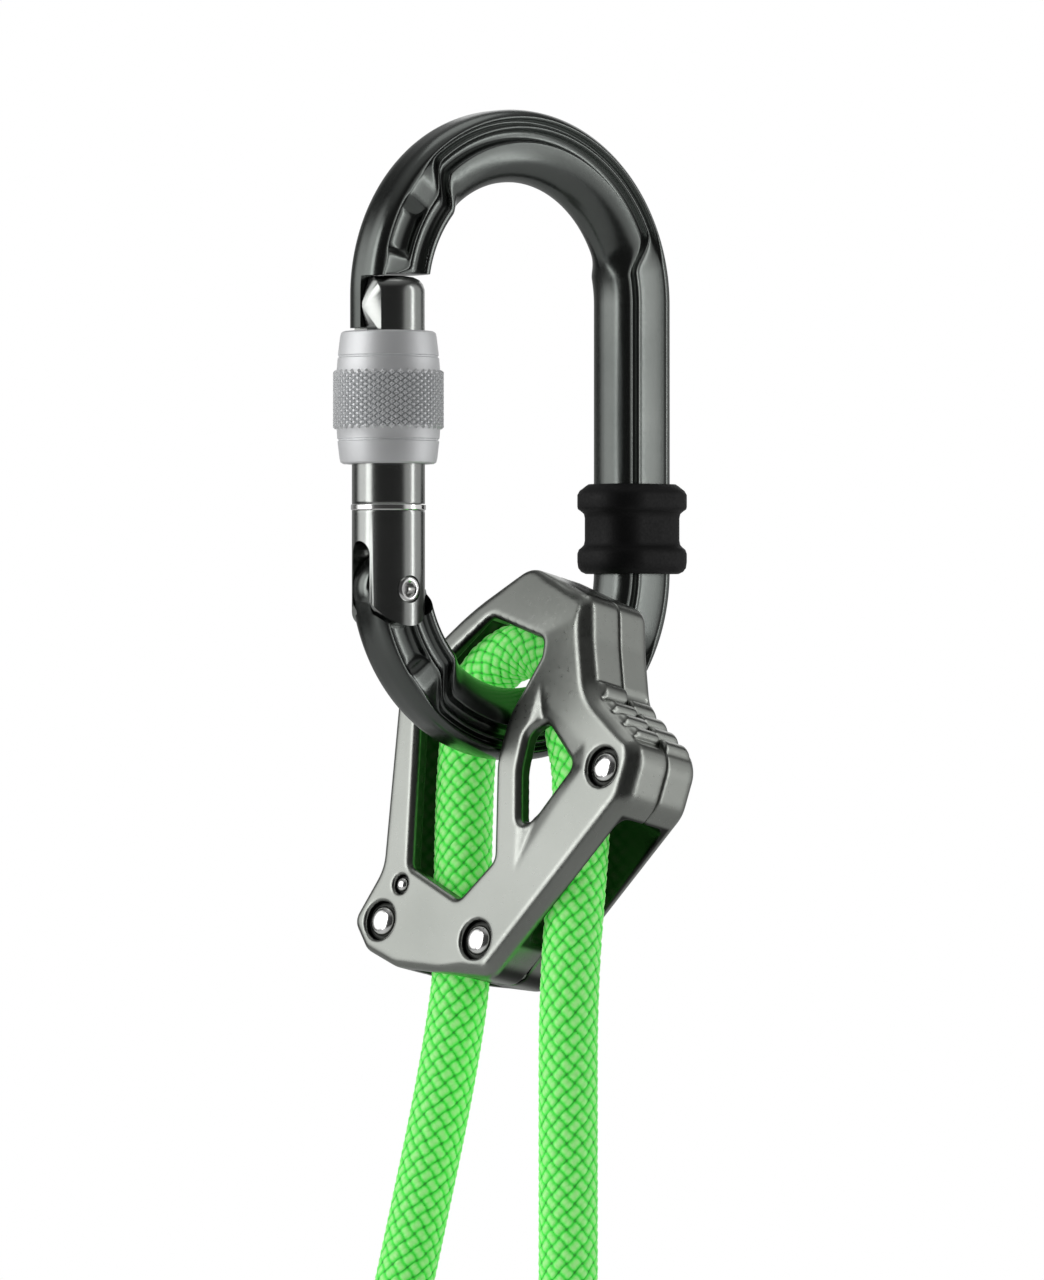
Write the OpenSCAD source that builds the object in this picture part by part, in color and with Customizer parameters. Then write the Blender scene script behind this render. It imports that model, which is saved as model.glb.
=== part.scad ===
// Rope-through belay device hanging on an oval screwgate carabiner.
// Frame: +Z up, origin at the inside of the carabiner's top bow, where it hangs.
// X runs across the carabiner from gate (-) to spine (+), Y is its thickness.
// The device has its own leaning frame on the carabiner's bottom bar:
// x across the plates, y from front plate to back plate, z up the plates.

/* [Carabiner] */
// Outside width of the oval
carabiner_w = 62; // [58:0.5:70]
// Outside height of the oval
carabiner_h = 108; // [104:0.5:120]
// Width of the bar seen from the front
bar_w = 11.4; // [10:0.1:12]
// Thickness of the bar front to back
bar_t = 9.4; // [8.5:0.1:10]
// Radius of the bar's rounded edges
bar_edge_r = 3.2; // [1:0.1:4]
// Extra metal on the outside of both bows
bow_extra = 0.6; // [0:0.1:1.5]

/* [Gate] */
// Radius of the gate barrel
barrel_r = 6; // [5.4:0.1:7]
// Height of the hinge rivet above the bottom of the oval
hinge_up = 28.3; // [26:0.1:32]
// Radius of the hinge rivet
hinge_r = 1.8; // [1.4:0.1:2.2]
// Length of the barrel above the hinge rivet
barrel_up = 51.3; // [48:0.1:60]
// Width of the slot between the two ears
clevis_gap = 4.6; // [4:0.1:5.5]
// Height of the slot above the hinge rivet
clevis_up = 7.9; // [7.5:0.1:10]
// Clearance at each side of the hinge tongue
hinge_clear = 0.3; // [0.2:0.05:0.5]
// Depth of the nose notch on the outside of the barrel
notch_in = 2.9; // [2.5:0.1:3.5]
// Height of the nose notch
notch_h = 12.4; // [9:0.1:14]

/* [Screw sleeve] */
// Radius of the sleeve's plain ends
sleeve_r = 8; // [7.5:0.1:10]
// Radius over the knurled band
knurl_r = 9.1; // [8.5:0.1:11]
// Length of the sleeve
sleeve_len = 21.7; // [18:0.1:24]
// Length of the knurled band
knurl_len = 8.8; // [6:0.1:10]
// Clearance between barrel and sleeve
sleeve_clear = 0.3; // [0.2:0.05:0.5]
// Width of the retaining ring inside the sleeve
keeper_ring_h = 2; // [1.5:0.1:3]
// Running clearance of the retaining ring
ring_clear = 0.05; // [0.02:0.01:0.1]
// Distance from the sleeve's lower edge down to the stop ring
sleeve_travel = 6.6; // [4:0.1:7]
// Height of the stop ring
stop_ring_h = 1; // [0.6:0.1:1.5]

/* [Rubber keeper] */
// Height of the rubber keeper
rubber_h = 15.1; // [12:0.1:18]
// Thickness of its waist
rubber_wall = 1.9; // [1.5:0.1:2.5]
// How far the two flanges stand out from the waist
rubber_lip = 1; // [0.5:0.1:1.5]
// Height of each flange
rubber_flange = 4.4; // [3:0.1:5]
// Height of its lower edge above the bottom of the oval
rubber_up = 31.1; // [31:0.1:40]

/* [Rope] */
// Rope diameter
rope_d = 9.8; // [8.9:0.1:10.2]
// Gap between the bar and the rope that runs over it
bight_gap = 0.8; // [0.5:0.1:1.5]
// Height of the bight's centre above the bar's centre
bight_lift = 1; // [0.9:0.1:1.5]
// Gap between the rope and the channel walls
channel_gap = 0.5; // [0.3:0.05:1]

/* [Shells] */
// Thickness of the device over both shells
device_t = 17; // [16.5:0.1:21]
// Thickness of the front and back plates
plate_t = 3; // [2.4:0.1:3.2]
// Height of the hump above the bar's centre
hump_top = 25.4; // [24.5:0.1:30]
// Reach of the elbow to the right of the bar's centre
elbow_reach = 33.8; // [32:0.1:40]
// Reach of the heel to the left of the bar's centre
heel_reach = 24.2; // [23:0.1:29]
// Drop of the base below the bar's centre
base_drop = 44.3; // [44:0.1:48]
// Lean of the device on the bar
lean = 12; // [8:0.5:13]
// Turn of the device about the vertical
turn = 80; // [76:0.5:82]
// Distance of the device from the carabiner's centre line
seat_x = 2; // [0:0.1:2.5]

/* [Rivets] */
// Radius of the large rivets' shanks
rivet_r = 2; // [1.6:0.1:2.4]
// Radius of the large rivets' heads
rivet_head_r = 2.9; // [2.6:0.1:3.1]
// Radius of the seats that the large heads lie in
rivet_seat_r = 3.3; // [3.2:0.1:3.6]
// Depth of the seats
rivet_seat_h = 0.7; // [0.4:0.1:1]
// Radius of the small pin in the front plate
small_rivet_r = 1.2; // [0.8:0.1:1.5]
// Depth of the small pin
small_rivet_h = 2.4; // [1.5:0.1:2.4]

/* [Wear insert] */
// Thickness of the steel wear insert
insert_t = 2; // [1.2:0.1:2.4]
// Clearance between the plates and what lies between them
inner_clear = 0.1; // [0.05:0.05:0.3]

/* [Strand ends] */
// Radius of the hole in the thimble
thimble_bore_r = 7; // [6:0.1:9]
// Thickness of the thimble at the bottom of its groove
thimble_wall = 1.4; // [1:0.1:2]
// Wall of the sleeves on the strand ends
end_sleeve_wall = 0.8; // [0.5:0.1:1.2]
// Length of the sleeve on the load strand
load_sleeve_len = 26; // [20:0.5:32]
// Length of the sleeve on the brake strand
brake_sleeve_len = 28; // [20:0.5:36]

/* [Hidden] */
$fn = 48;

gunmetal = [0.22, 0.24, 0.24];
shell_grey = [0.55, 0.56, 0.54];
silver = [0.8, 0.81, 0.82];
steel = [0.7, 0.7, 0.7];
rubber = [0.06, 0.06, 0.06];
rope_green = [0.15, 0.8, 0.2];
thread_black = [0.08, 0.08, 0.09];

// Carabiner: the inner oval's radius and the heights of its two centres
inner_r = carabiner_w / 2 - bar_w;
outer_r = carabiner_w / 2;
top_z = bow_extra + bar_w;
bottom_z = top_z - carabiner_h;
top_centre_z = -inner_r;
bottom_centre_z = bottom_z + bow_extra + outer_r;
bar_centre_z = bottom_centre_z - inner_r - bar_w / 2;

// Gate: the barrel stands on the centre line of the bar's left side
gate_in = 5.3;
gate_x = -outer_r + gate_in;
hinge_z = bottom_z + hinge_up;
barrel_top_z = hinge_z + barrel_up;
notch_face_x = gate_x - barrel_r + notch_in;
notch_floor_z = barrel_top_z - notch_h;
foot_t = clevis_gap - 2 * hinge_clear;
foot_r = barrel_r - 0.8;
shoulder_r = barrel_r + 0.4;
nose_gap = 0.35;
nose_len = 8.5;
nose_end_z = barrel_top_z - nose_len;
sleeve_gap = 0.55;
sleeve_top_z = nose_end_z - sleeve_gap;
sleeve_bottom_z = sleeve_top_z - sleeve_len;
sleeve_bore_r = barrel_r + sleeve_clear;
sleeve_groove_r = 2.2;
stop_ring_top_z = sleeve_bottom_z - sleeve_travel;
stop_ring_in = 0.5;
stop_ring_out = 0.15;
ring_z = sleeve_top_z - sleeve_len / 2;
ring_outer_r = barrel_r + 0.9;
spring_bore_r = 2.6;
plunger_r = 2.5;
plunger_head_h = 3;
plunger_gap = 0.15;
plunger_bottom_z = hinge_z + foot_r + plunger_gap;
spring_bottom_z = plunger_bottom_z + plunger_head_h;
spring_turns = 9;
spring_pitch = 2;
spring_wire_r = 0.35;
spring_coil_r = 1.9;
spring_top_z = spring_bottom_z + 2 * spring_wire_r + spring_turns * spring_pitch;

// Rope and its channels, in the device's frame
rope_r = rope_d / 2;
bight_r = bar_w / 2 + bight_gap + rope_r;
channel_half = rope_r + channel_gap;
cavity_r = bight_r + channel_half;
cavity_half_t = device_t / 2 - plate_t;
load_out_x = -5.4;
load_route = [
    [-bight_r, bight_lift], [-bight_r + 0.4, -8], [-9.6, -18], [-8.1, -27], [-6.4, -36], [load_out_x, -44]
];
brake_route = [
    [bight_r, bight_lift], [bight_r + 0.9, -2.5], [bight_r + 3.4, -8.5], [16.4, -18], [17.2, -27], [18, -36.5]
];

// Free strands in the object's frame: points chosen by hand along each route
load_points = [
    [-8, 3.7, -133.2], [-10, 3.4, -143], [-12.6, 3.6, -155], [-15.6, 4.3, -168.5],
    [-18.8, 5, -182.5], [-20, 5.2, -188], [-21.6, 4.9, -195.8]
];
brake_points = [
    [-2.4, -19, -126], [-3.5, -19.8, -133], [-4.1, -20.2, -141], [-4.2, -20.3, -152],
    [-4.2, -20.3, -166], [-4.2, -20.3, -180], [-4.2, -20.3, -188]
];
strand_sides = 10;
leg_sides = 12;

// Outline of both shells, clockwise from the hump: [x, z, corner radius]
shoulder = [17.9, hump_top - 5.4, 3];
elbow_z = -8.6;
heel_z = -35.6;
shell_outline = [
    [2.2, hump_top, 5],
    shoulder,
    [19.3, 13, 12],
    [22, 3.6, 8],
    [elbow_reach, elbow_z + 3.2, 5],
    [elbow_reach - 1.6, elbow_z - 5.6, 6],
    [7.6, -base_drop, 3.5],
    [-13.5, -base_drop + 1.3, 6],
    [-heel_reach + 3.8, heel_z - 4.8, 3],
    [-heel_reach, heel_z, 2.6],
    [-19.2, -26.5, 7],
    [-21.4, 4.4, 9],
    [-9.2, 18, 30]
];
// The front plate's large window, between the left arm and the centre strut
front_window = [
    [-16.4, 4.4, 3], [-3.9, 16.6, 1.5], [9.6, 12.4, 1.2], [9.6, 9.6, 1.5], [4.8, -0.5, 12],
    [3.4, -8, 12], [5.6, -24.6, 2], [-1, -31.4, 1.5], [-12.6, -26.2, 1.5]
];
// The front plate's small slot, between the centre strut and the elbow
front_slot = [
    [12.6, -1.3, 1.5], [9.2, -3.4, 2.5], [8.6, -9.5, 8], [10.4, -19.6, 1], [19.2, -8.6, 1.4]
];
// The back plate's openings leave its strut further right, clear of the bar
back_window = [
    [-16.4, 4.4, 3], [-3.9, 18.2, 1.5], [12.6, 16.6, 1.5], [13.4, 9.6, 2], [9.4, 0.5, 8],
    [8.6, -8, 8], [8.8, -24.6, 2], [-1, -31.4, 1.5], [-12.6, -26.2, 1.5]
];
back_slot = [
    [14.9, -3.4, 1.2], [13.6, -9.5, 4], [13.8, -15.4, 0.6], [19.2, -8.6, 1.4]
];
// The space between the plates, apart from the bight's round and the two channels
between_strands = [
    [-12, 2, 0.5], [12, 2, 0.5], [14, -24, 1], [8, -29.5, 3], [-1.5, -29.5, 3], [-7, -20, 1]
];
side_exit = [
    [13, -4, 1], [19.2, -8.8, 3], [24.6, -14.6, 3], [elbow_reach + 4, -20, 1], [elbow_reach + 4, -60, 1],
    [12.6, -60, 1]
];
divider_outline = [
    [0.4, -base_drop + 0.6, 1.2], [-0.3, -35, 2], [2.6, -30.2, 3], [8.4, -30.2, 3], [11.4, -36, 3],
    [8.4, -base_drop + 0.9, 2]
];
right_rivet = [26.6, -8.8];
left_rivet = [-17.7, -35.4];
centre_rivet = [4.3, -38];
small_rivet = [-14.2, -29.2];
insert_from = 38;
insert_to = 112;

// Load strand's end, in the device's frame
eye_x = -8.9;
eye_sleeve_top = -99;
eye_r = thimble_bore_r + thimble_wall + rope_r;
eye_z = eye_sleeve_top - load_sleeve_len - eye_r + rope_r;
thimble_half = rope_r;
thimble_lip = 2.4;
band_h = 1.2;
band_t = 0.3;
brake_end = brake_points[len(brake_points) - 1];
brake_sleeve_top_z = brake_end.z + 2;

// Unit vector
function unit(v) = v / norm(v);

// Arc that rounds the corner at, between its two neighbours
function corner(before, at, after, steps = 5) =
    let (
        p = [at.x, at.y],
        a = unit([before.x, before.y] - p),
        b = unit([after.x, after.y] - p),
        half = acos(a * b) / 2,
        run = at.z / tan(half),
        centre = p + unit(a + b) * at.z / sin(half),
        from = p + a * run - centre,
        to = p + b * run - centre,
        start = atan2(from.y, from.x),
        sweep = (atan2(to.y, to.x) - start + 900) % 360 - 180
    )
    [for (i = [0 : steps]) let (t = start + sweep * i / steps) centre + at.z * [cos(t), sin(t)]];

// Closed outline whose corners [x, y, radius] are rounded
function rounded(points) =
    let (n = len(points))
    [for (i = [0 : n - 1]) each corner(points[(i + n - 1) % n], points[i], points[(i + 1) % n])];

// Rings of a tube swept along points, and the faces that close it
function tangent(points, i) =
    unit(points[min(i + 1, len(points) - 1)] - points[max(i - 1, 0)]);
function ring_at(points, i, r, sides) =
    let (
        t = tangent(points, i),
        side = unit(cross(t, [1, 0.2, 0])),
        up = cross(side, t)
    )
    [for (k = [0 : sides - 1]) points[i] + r * (cos(360 * k / sides) * side + sin(360 * k / sides) * up)];
function tube_faces(rings, sides) = concat(
    [[for (k = [sides - 1 : -1 : 0]) k]],
    [for (i = [0 : rings - 2], k = [0 : sides - 1])
        let (a = i * sides + k, b = i * sides + (k + 1) % sides)
        each [[a, b, b + sides], [a, b + sides, a + sides]]],
    [[for (k = [0 : sides - 1]) (rings - 1) * sides + k]]
);

// Round tube along a list of points
module tube(points, r, sides) {
    polyhedron(
        points = [for (i = [0 : len(points) - 1]) each ring_at(points, i, r, sides)],
        faces = tube_faces(len(points), sides)
    );
}

// Children in the device's leaning frame on the bar
module device_frame() {
    translate([seat_x, 0, bar_centre_z]) rotate([0, 0, -turn]) rotate([-lean, 0, 0]) children();
}

// Outline in the plates' plane, from depth y0 to y1
module plate_slab(y0, y1) {
    translate([0, y1, 0]) rotate([90, 0, 0]) linear_extrude(y1 - y0) children();
}

// Round bar across the plates at a point of their plane
module cross_bar(at, r, y0, y1) {
    translate([at.x, y1, at.y]) rotate([90, 0, 0]) cylinder(h = y1 - y0, r = r);
}

// Rectangle with round corners, centred
module round_rect(w, h, r) {
    square([w - 2 * r, h], center = true);
    square([w, h - 2 * r], center = true);
    for (x = [-1, 1], y = [-1, 1]) translate([x * (w / 2 - r), y * (h / 2 - r)]) circle(r);
}

// Section of the carabiner's bar, standing off the bow's axis
module bar_section(extra) {
    translate([inner_r + (bar_w + extra) / 2, 0]) round_rect(bar_w + extra, bar_t, bar_edge_r);
}

// Quarter or half turn of the bar about a bow's centre, starting at the spine
module bow(centre_z, from, sweep, extra) {
    translate([0, 0, centre_z]) rotate([90, 0, 0]) rotate([0, 0, from])
        rotate_extrude(angle = sweep, $fn = 96) bar_section(extra);
}

// Forged body: two bows, the spine, the nose and the hinge foot
module carabiner_body() {
    color(gunmetal) {
        difference() {
            union() {
                bow(top_centre_z, 0, 180, bow_extra);
                bow(bottom_centre_z, 180, 180, bow_extra);
                translate([inner_r + (bar_w + bow_extra) / 2, 0, bottom_centre_z])
                    linear_extrude(top_centre_z - bottom_centre_z)
                        round_rect(bar_w + bow_extra, bar_t, bar_edge_r);
                translate([gate_x, 0, hinge_z]) rotate([90, 0, 0])
                    cylinder(h = foot_t, r = foot_r, center = true);
                translate([-outer_r, -bar_t / 2 + 1.4, nose_end_z])
                    cube([notch_face_x - nose_gap + outer_r, bar_t - 2.8, top_centre_z - nose_end_z + 1]);
            }
            translate([gate_x, foot_t / 2 + bar_t, hinge_z]) rotate([90, 0, 0])
                cylinder(h = bar_t, r = shoulder_r);
            translate([gate_x, -foot_t / 2, hinge_z]) rotate([90, 0, 0])
                cylinder(h = bar_t, r = shoulder_r);
            for (side = [-1, 1])
                translate([gate_x - bar_w, side * (foot_t / 2 + bar_t / 2) - bar_t / 2, hinge_z])
                    cube([2 * bar_w, bar_t, bar_w]);
            translate([notch_face_x - nose_gap, -bar_t, nose_end_z - 1])
                cube([bar_w + 2, 2 * bar_t, barrel_top_z + nose_gap - nose_end_z + 1]);
            translate([gate_x, bar_t, hinge_z]) rotate([90, 0, 0]) cylinder(h = 2 * bar_t, r = hinge_r);
        }
    }
}

// Rubber band with two flanges, tight on the spine
module rubber_keeper() {
    w = bar_w + bow_extra + 2 * rubber_wall;
    t = bar_t + 2 * rubber_wall;
    color(rubber) translate([inner_r + (bar_w + bow_extra) / 2, 0, bottom_z + rubber_up]) difference() {
        union() {
            linear_extrude(rubber_h) round_rect(w, t, bar_edge_r + rubber_wall);
            for (z = [0, rubber_h - rubber_flange]) translate([0, 0, z]) linear_extrude(rubber_flange)
                round_rect(w + 2 * rubber_lip, t + 2 * rubber_lip, bar_edge_r + rubber_wall + rubber_lip);
        }
        translate([0, 0, -1]) linear_extrude(rubber_h + 2) round_rect(bar_w + bow_extra, bar_t, bar_edge_r);
    }
}

// Rivet that the gate turns on
module gate_pin() {
    color(steel) translate([gate_x, 0, hinge_z]) rotate([90, 0, 0])
        cylinder(h = 2 * barrel_r - 0.6, r = hinge_r, center = true);
}

// Round gate with nose notch, spring bore and two ears
module gate_barrel() {
    color(gunmetal) difference() {
        union() {
            translate([gate_x, 0, hinge_z]) cylinder(h = barrel_up, r = barrel_r);
            intersection() {
                translate([gate_x, 0, hinge_z - barrel_r]) cylinder(h = 2 * barrel_r, r = barrel_r);
                translate([gate_x, barrel_r, hinge_z]) rotate([90, 0, 0])
                    cylinder(h = 2 * barrel_r, r = barrel_r);
            }
        }
        translate([gate_x - 2 * barrel_r, -clevis_gap / 2, hinge_z - 2 * barrel_r])
            cube([4 * barrel_r, clevis_gap, 2 * barrel_r + clevis_up]);
        translate([gate_x - 2 * barrel_r, -2 * barrel_r, notch_floor_z])
            cube([barrel_r + notch_in, 4 * barrel_r, notch_h + 1]);
        translate([gate_x, 0, hinge_z]) cylinder(h = spring_top_z - hinge_z, r = spring_bore_r);
        translate([gate_x, barrel_r + 1, hinge_z]) rotate([90, 0, 0])
            cylinder(h = 2 * barrel_r + 2, r = hinge_r + ring_clear);
        translate([gate_x, 0, stop_ring_top_z - stop_ring_h]) difference() {
            cylinder(h = stop_ring_h, r = barrel_r + 1);
            translate([0, 0, -1]) cylinder(h = stop_ring_h + 2, r = barrel_r - stop_ring_in);
        }
    }
}

// Bright ring in the barrel's groove that stops the sleeve
module stop_ring() {
    color(silver) translate([gate_x, 0, stop_ring_top_z - stop_ring_h]) difference() {
        cylinder(h = stop_ring_h, r = barrel_r + stop_ring_out);
        translate([0, 0, -1]) cylinder(h = stop_ring_h + 2, r = barrel_r - stop_ring_in);
    }
}

// Coil spring that pushes the plunger onto the hinge foot
module gate_spring() {
    steps = 12;
    turns = [for (i = [0 : spring_turns * steps]) [
        spring_coil_r * cos(360 * i / steps),
        spring_coil_r * sin(360 * i / steps),
        spring_wire_r + spring_pitch * i / steps
    ]];
    color(steel) translate([gate_x, 0, spring_bottom_z]) tube(turns, spring_wire_r, 6);
}

// Plunger between the spring and the foot, with a flat that rides on the foot
module spring_plunger() {
    color(steel) translate([gate_x, 0, plunger_bottom_z]) {
        cylinder(h = plunger_head_h, r = plunger_r - 0.3);
        cylinder(h = plunger_head_h + 5, r = spring_coil_r - spring_wire_r - 0.3);
    }
}

// Ring that keeps the sleeve on the barrel's thread
module sleeve_ring() {
    color(thread_black) translate([gate_x, 0, ring_z]) difference() {
        cylinder(h = keeper_ring_h, r = ring_outer_r);
        translate([0, 0, -1]) cylinder(h = keeper_ring_h + 2, r = barrel_r + ring_clear);
    }
}

// Knurled screw sleeve
module lock_sleeve() {
    end = (sleeve_len - knurl_len) / 2;
    groove = 0.35;
    color(silver) translate([gate_x, 0, sleeve_bottom_z]) difference() {
        rotate_extrude($fn = 64) polygon([
            [sleeve_bore_r, 0], [sleeve_r - 0.7, 0], [sleeve_r, 0.7],
            [sleeve_r + 0.5, end - sleeve_groove_r], [sleeve_r + 0.2, end - sleeve_groove_r + groove],
            [sleeve_r + 0.5, end - sleeve_groove_r + 2 * groove], [sleeve_r + 0.5, end],
            [knurl_r, end + 0.5], [knurl_r, end + knurl_len - 0.5],
            [sleeve_r + 0.5, end + knurl_len], [sleeve_r + 0.4, sleeve_len - end + sleeve_groove_r],
            [sleeve_r, sleeve_len - 0.7], [sleeve_r - 0.7, sleeve_len], [sleeve_bore_r, sleeve_len]
        ]);
        translate([0, 0, ring_z - sleeve_bottom_z - ring_clear])
            cylinder(h = keeper_ring_h + 2 * ring_clear, r = ring_outer_r + ring_clear);
    }
}

// Space between the plates that the rope and the bar pass through
module cavity() {
    translate([0, bight_lift]) circle(cavity_r, $fn = 96);
    polygon(concat(
        [for (p = load_route) [p.x - channel_half, p.y]],
        [[load_out_x - channel_half, -base_drop - 3], [load_out_x + channel_half, -base_drop - 3]],
        [for (i = [len(load_route) - 1 : -1 : 0]) [load_route[i].x + channel_half, load_route[i].y]]
    ));
    polygon(concat(
        [for (p = brake_route) [p.x - channel_half, p.y]],
        [for (i = [len(brake_route) - 1 : -1 : 0]) [brake_route[i].x + channel_half, brake_route[i].y]]
    ));
    polygon(rounded(between_strands));
    polygon(rounded(side_exit));
}

// Half of the casing: plate, perimeter wall, rivet bores and seats
module shell(side, window, slot) {
    face = side * device_t / 2;
    inner = side * cavity_half_t;
    difference() {
        plate_slab(min(face, 0), max(face, 0)) polygon(rounded(shell_outline));
        plate_slab(min(inner, -side), max(inner, -side)) cavity();
        plate_slab(min(2 * face, 0), max(2 * face, 0)) polygon(rounded(window));
        plate_slab(min(2 * face, 0), max(2 * face, 0)) polygon(rounded(slot));
        insert_pocket();
        plate_slab(min(inner, -side), max(inner, -side)) polygon(rounded(divider_outline));
        for (at = [right_rivet, left_rivet, centre_rivet]) {
            cross_bar(at, rivet_r, -device_t, device_t);
            cross_bar(at, rivet_seat_r, min(face - side * rivet_seat_h, 2 * face),
                max(face - side * rivet_seat_h, 2 * face));
        }
        if (side < 0) cross_bar(small_rivet, small_rivet_r, face - 1, face + small_rivet_h);
    }
}

// Front half
module front_shell() {
    color(shell_grey) device_frame() shell(-1, front_window, front_slot);
}

// Back half
module back_shell() {
    color(shell_grey) device_frame() shell(1, back_window, back_slot);
}

// Ring sector about the bight's centre, between two radii in the plates' plane
module sector(r_in, r_out, from, to, half) {
    translate([0, 0, bight_lift]) rotate([90, 0, 0]) translate([0, 0, -half]) rotate([0, 0, from])
        rotate_extrude(angle = to - from, $fn = 96) translate([r_in, 0]) square([r_out - r_in, 2 * half]);
}

// Pocket for the wear insert, open to the cavity
module insert_pocket() {
    sector(cavity_r - 1, cavity_r + insert_t, insert_from, insert_to, cavity_half_t);
}

// Steel shoe that the rope is pressed against under the hump
module wear_insert() {
    color(steel) device_frame()
        sector(cavity_r, cavity_r + insert_t, insert_from, insert_to, cavity_half_t - inner_clear);
}

// Block between the two rope channels, held by the centre rivet
module strand_divider() {
    color(shell_grey) device_frame() difference() {
        plate_slab(-cavity_half_t + inner_clear, cavity_half_t - inner_clear) intersection() {
            polygon(rounded(divider_outline));
            difference() {
                translate([-10, -base_drop - 1]) square([40, 20]);
                polygon(concat(
                    [for (p = load_route) [p.x - channel_half, p.y]],
                    [[-20, -base_drop - 5], [load_out_x + channel_half, -base_drop - 5]],
                    [for (i = [len(load_route) - 1 : -1 : 0])
                        [load_route[i].x + channel_half, load_route[i].y]]
                ));
            }
        }
        cross_bar(centre_rivet, rivet_r, -device_t, device_t);
    }
}

// Rivet through both shells with a low head at each end
module rivet(at) {
    color(steel) device_frame() {
        cross_bar(at, rivet_r, -device_t / 2, device_t / 2);
        for (side = [-1, 1]) {
            seat = side * (device_t / 2 - rivet_seat_h);
            top = side * (device_t / 2 - 0.1);
            cross_bar(at, rivet_head_r, min(seat, top), max(seat, top));
        }
    }
}

module rivet_right() { rivet(right_rivet); }
module rivet_left() { rivet(left_rivet); }
module rivet_centre() { rivet(centre_rivet); }

// Small pin set in the front plate
module rivet_small() {
    color(steel) device_frame()
        cross_bar(small_rivet, small_rivet_r, -device_t / 2 + 0.1, -device_t / 2 + small_rivet_h);
}

// Rope that runs over the bar inside the device
module rope_bight() {
    color(rope_green) device_frame() translate([0, 0, bight_lift]) rotate([90, 0, 0])
        rotate_extrude(angle = 180, $fn = 72) translate([bight_r, 0]) circle(rope_r);
}

// Rope in one of the device's channels
module rope_leg(route) {
    color(rope_green) device_frame() tube([for (p = route) [p.x, 0, p.y]], rope_r, leg_sides);
}

// Rope in the load channel
module load_leg() { rope_leg(load_route); }

// Rope in the brake channel
module brake_leg() { rope_leg(brake_route); }

// Loaded strand below the device
module load_strand() {
    color(rope_green) tube(load_points, rope_r, strand_sides);
}

// Brake strand hanging below the device
module brake_strand() {
    color(rope_green) tube(brake_points, rope_r, strand_sides);
}

// Loop of rope round the thimble
module load_eye() {
    color(rope_green) device_frame() translate([eye_x - rope_r, 0, eye_z]) rotate([90, 0, 0])
        rotate_extrude($fn = 72) translate([eye_r, 0]) circle(rope_r);
}

// Grooved ring that lines the eye
module load_thimble() {
    floor_r = thimble_bore_r + thimble_wall;
    color(silver) device_frame() translate([eye_x - rope_r, 0, eye_z]) rotate([90, 0, 0])
        rotate_extrude($fn = 72) difference() {
            translate([thimble_bore_r, -thimble_half]) square([thimble_wall + thimble_lip, 2 * thimble_half]);
            translate([floor_r + rope_r, 0]) circle(rope_r);
        }
}

// Stadium cross-section over two ropes lying side by side
module double_rope_2d(grow) {
    r = rope_r + grow;
    square([rope_d, 2 * r], center = true);
    for (x = [-rope_r, rope_r]) translate([x, 0]) circle(r);
}

// Shrink sleeve over the sewn eye's two legs
module load_sleeve() {
    color(thread_black) device_frame()
        translate([eye_x - rope_r, 0, eye_sleeve_top - load_sleeve_len]) difference() {
            linear_extrude(load_sleeve_len) double_rope_2d(end_sleeve_wall);
            translate([0, 0, -1]) linear_extrude(load_sleeve_len + 2) double_rope_2d(0);
        }
}

// Bands of thread round the load strand's sleeve
module load_stitching() {
    color(thread_black) device_frame() for (i = [1 : 3])
        translate([eye_x - rope_r, 0, eye_sleeve_top - i * load_sleeve_len / 4]) difference() {
            linear_extrude(band_h) double_rope_2d(end_sleeve_wall + band_t);
            translate([0, 0, -1]) linear_extrude(band_h + 2) double_rope_2d(end_sleeve_wall);
        }
}

// Sewn-back tail of the load strand, beside it in the sleeve
module load_tail() {
    color(rope_green) device_frame() translate([eye_x - rope_d, 0, eye_z + eye_r + rope_r + 0.2])
        cylinder(h = eye_sleeve_top - 1.5 - (eye_z + eye_r + rope_r + 0.2), r = rope_r);
}

// Shrink sleeve over the end of the brake strand
module brake_sleeve() {
    color(thread_black) translate([brake_end.x, brake_end.y, brake_sleeve_top_z - brake_sleeve_len])
        difference() {
            cylinder(h = brake_sleeve_len, r = rope_r + end_sleeve_wall);
            translate([0, 0, -1]) cylinder(h = brake_sleeve_len + 2, r = rope_r);
        }
}

// Sealed end of the brake strand, inside and just below its sleeve
module brake_tip() {
    tip_len = brake_sleeve_len - 2;
    color(rope_green) translate([brake_end.x, brake_end.y, brake_end.z - tip_len]) {
        cylinder(h = tip_len, r = rope_r);
        sphere(rope_r);
    }
}

// Bands of thread round the brake strand's sleeve
module brake_stitching() {
    color(thread_black) for (i = [1 : 3])
        translate([brake_end.x, brake_end.y, brake_sleeve_top_z - i * brake_sleeve_len / 4]) difference() {
            cylinder(h = band_h, r = rope_r + end_sleeve_wall + band_t);
            translate([0, 0, -1]) cylinder(h = band_h + 2, r = rope_r + end_sleeve_wall);
        }
}

carabiner_body();
rubber_keeper();
gate_pin();
gate_barrel();
stop_ring();
gate_spring();
spring_plunger();
sleeve_ring();
lock_sleeve();
front_shell();
back_shell();
wear_insert();
strand_divider();
rivet_right();
rivet_left();
rivet_centre();
rivet_small();
rope_bight();
load_leg();
brake_leg();
load_strand();
brake_strand();
load_eye();
load_thimble();
load_sleeve();
load_tail();
load_stitching();
brake_sleeve();
brake_tip();
brake_stitching();
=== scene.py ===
"""Looks of a rope-through belay device hanging on an oval screwgate carabiner."""
import logging
import math
from dataclasses import dataclass, field
from enum import Enum

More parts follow.
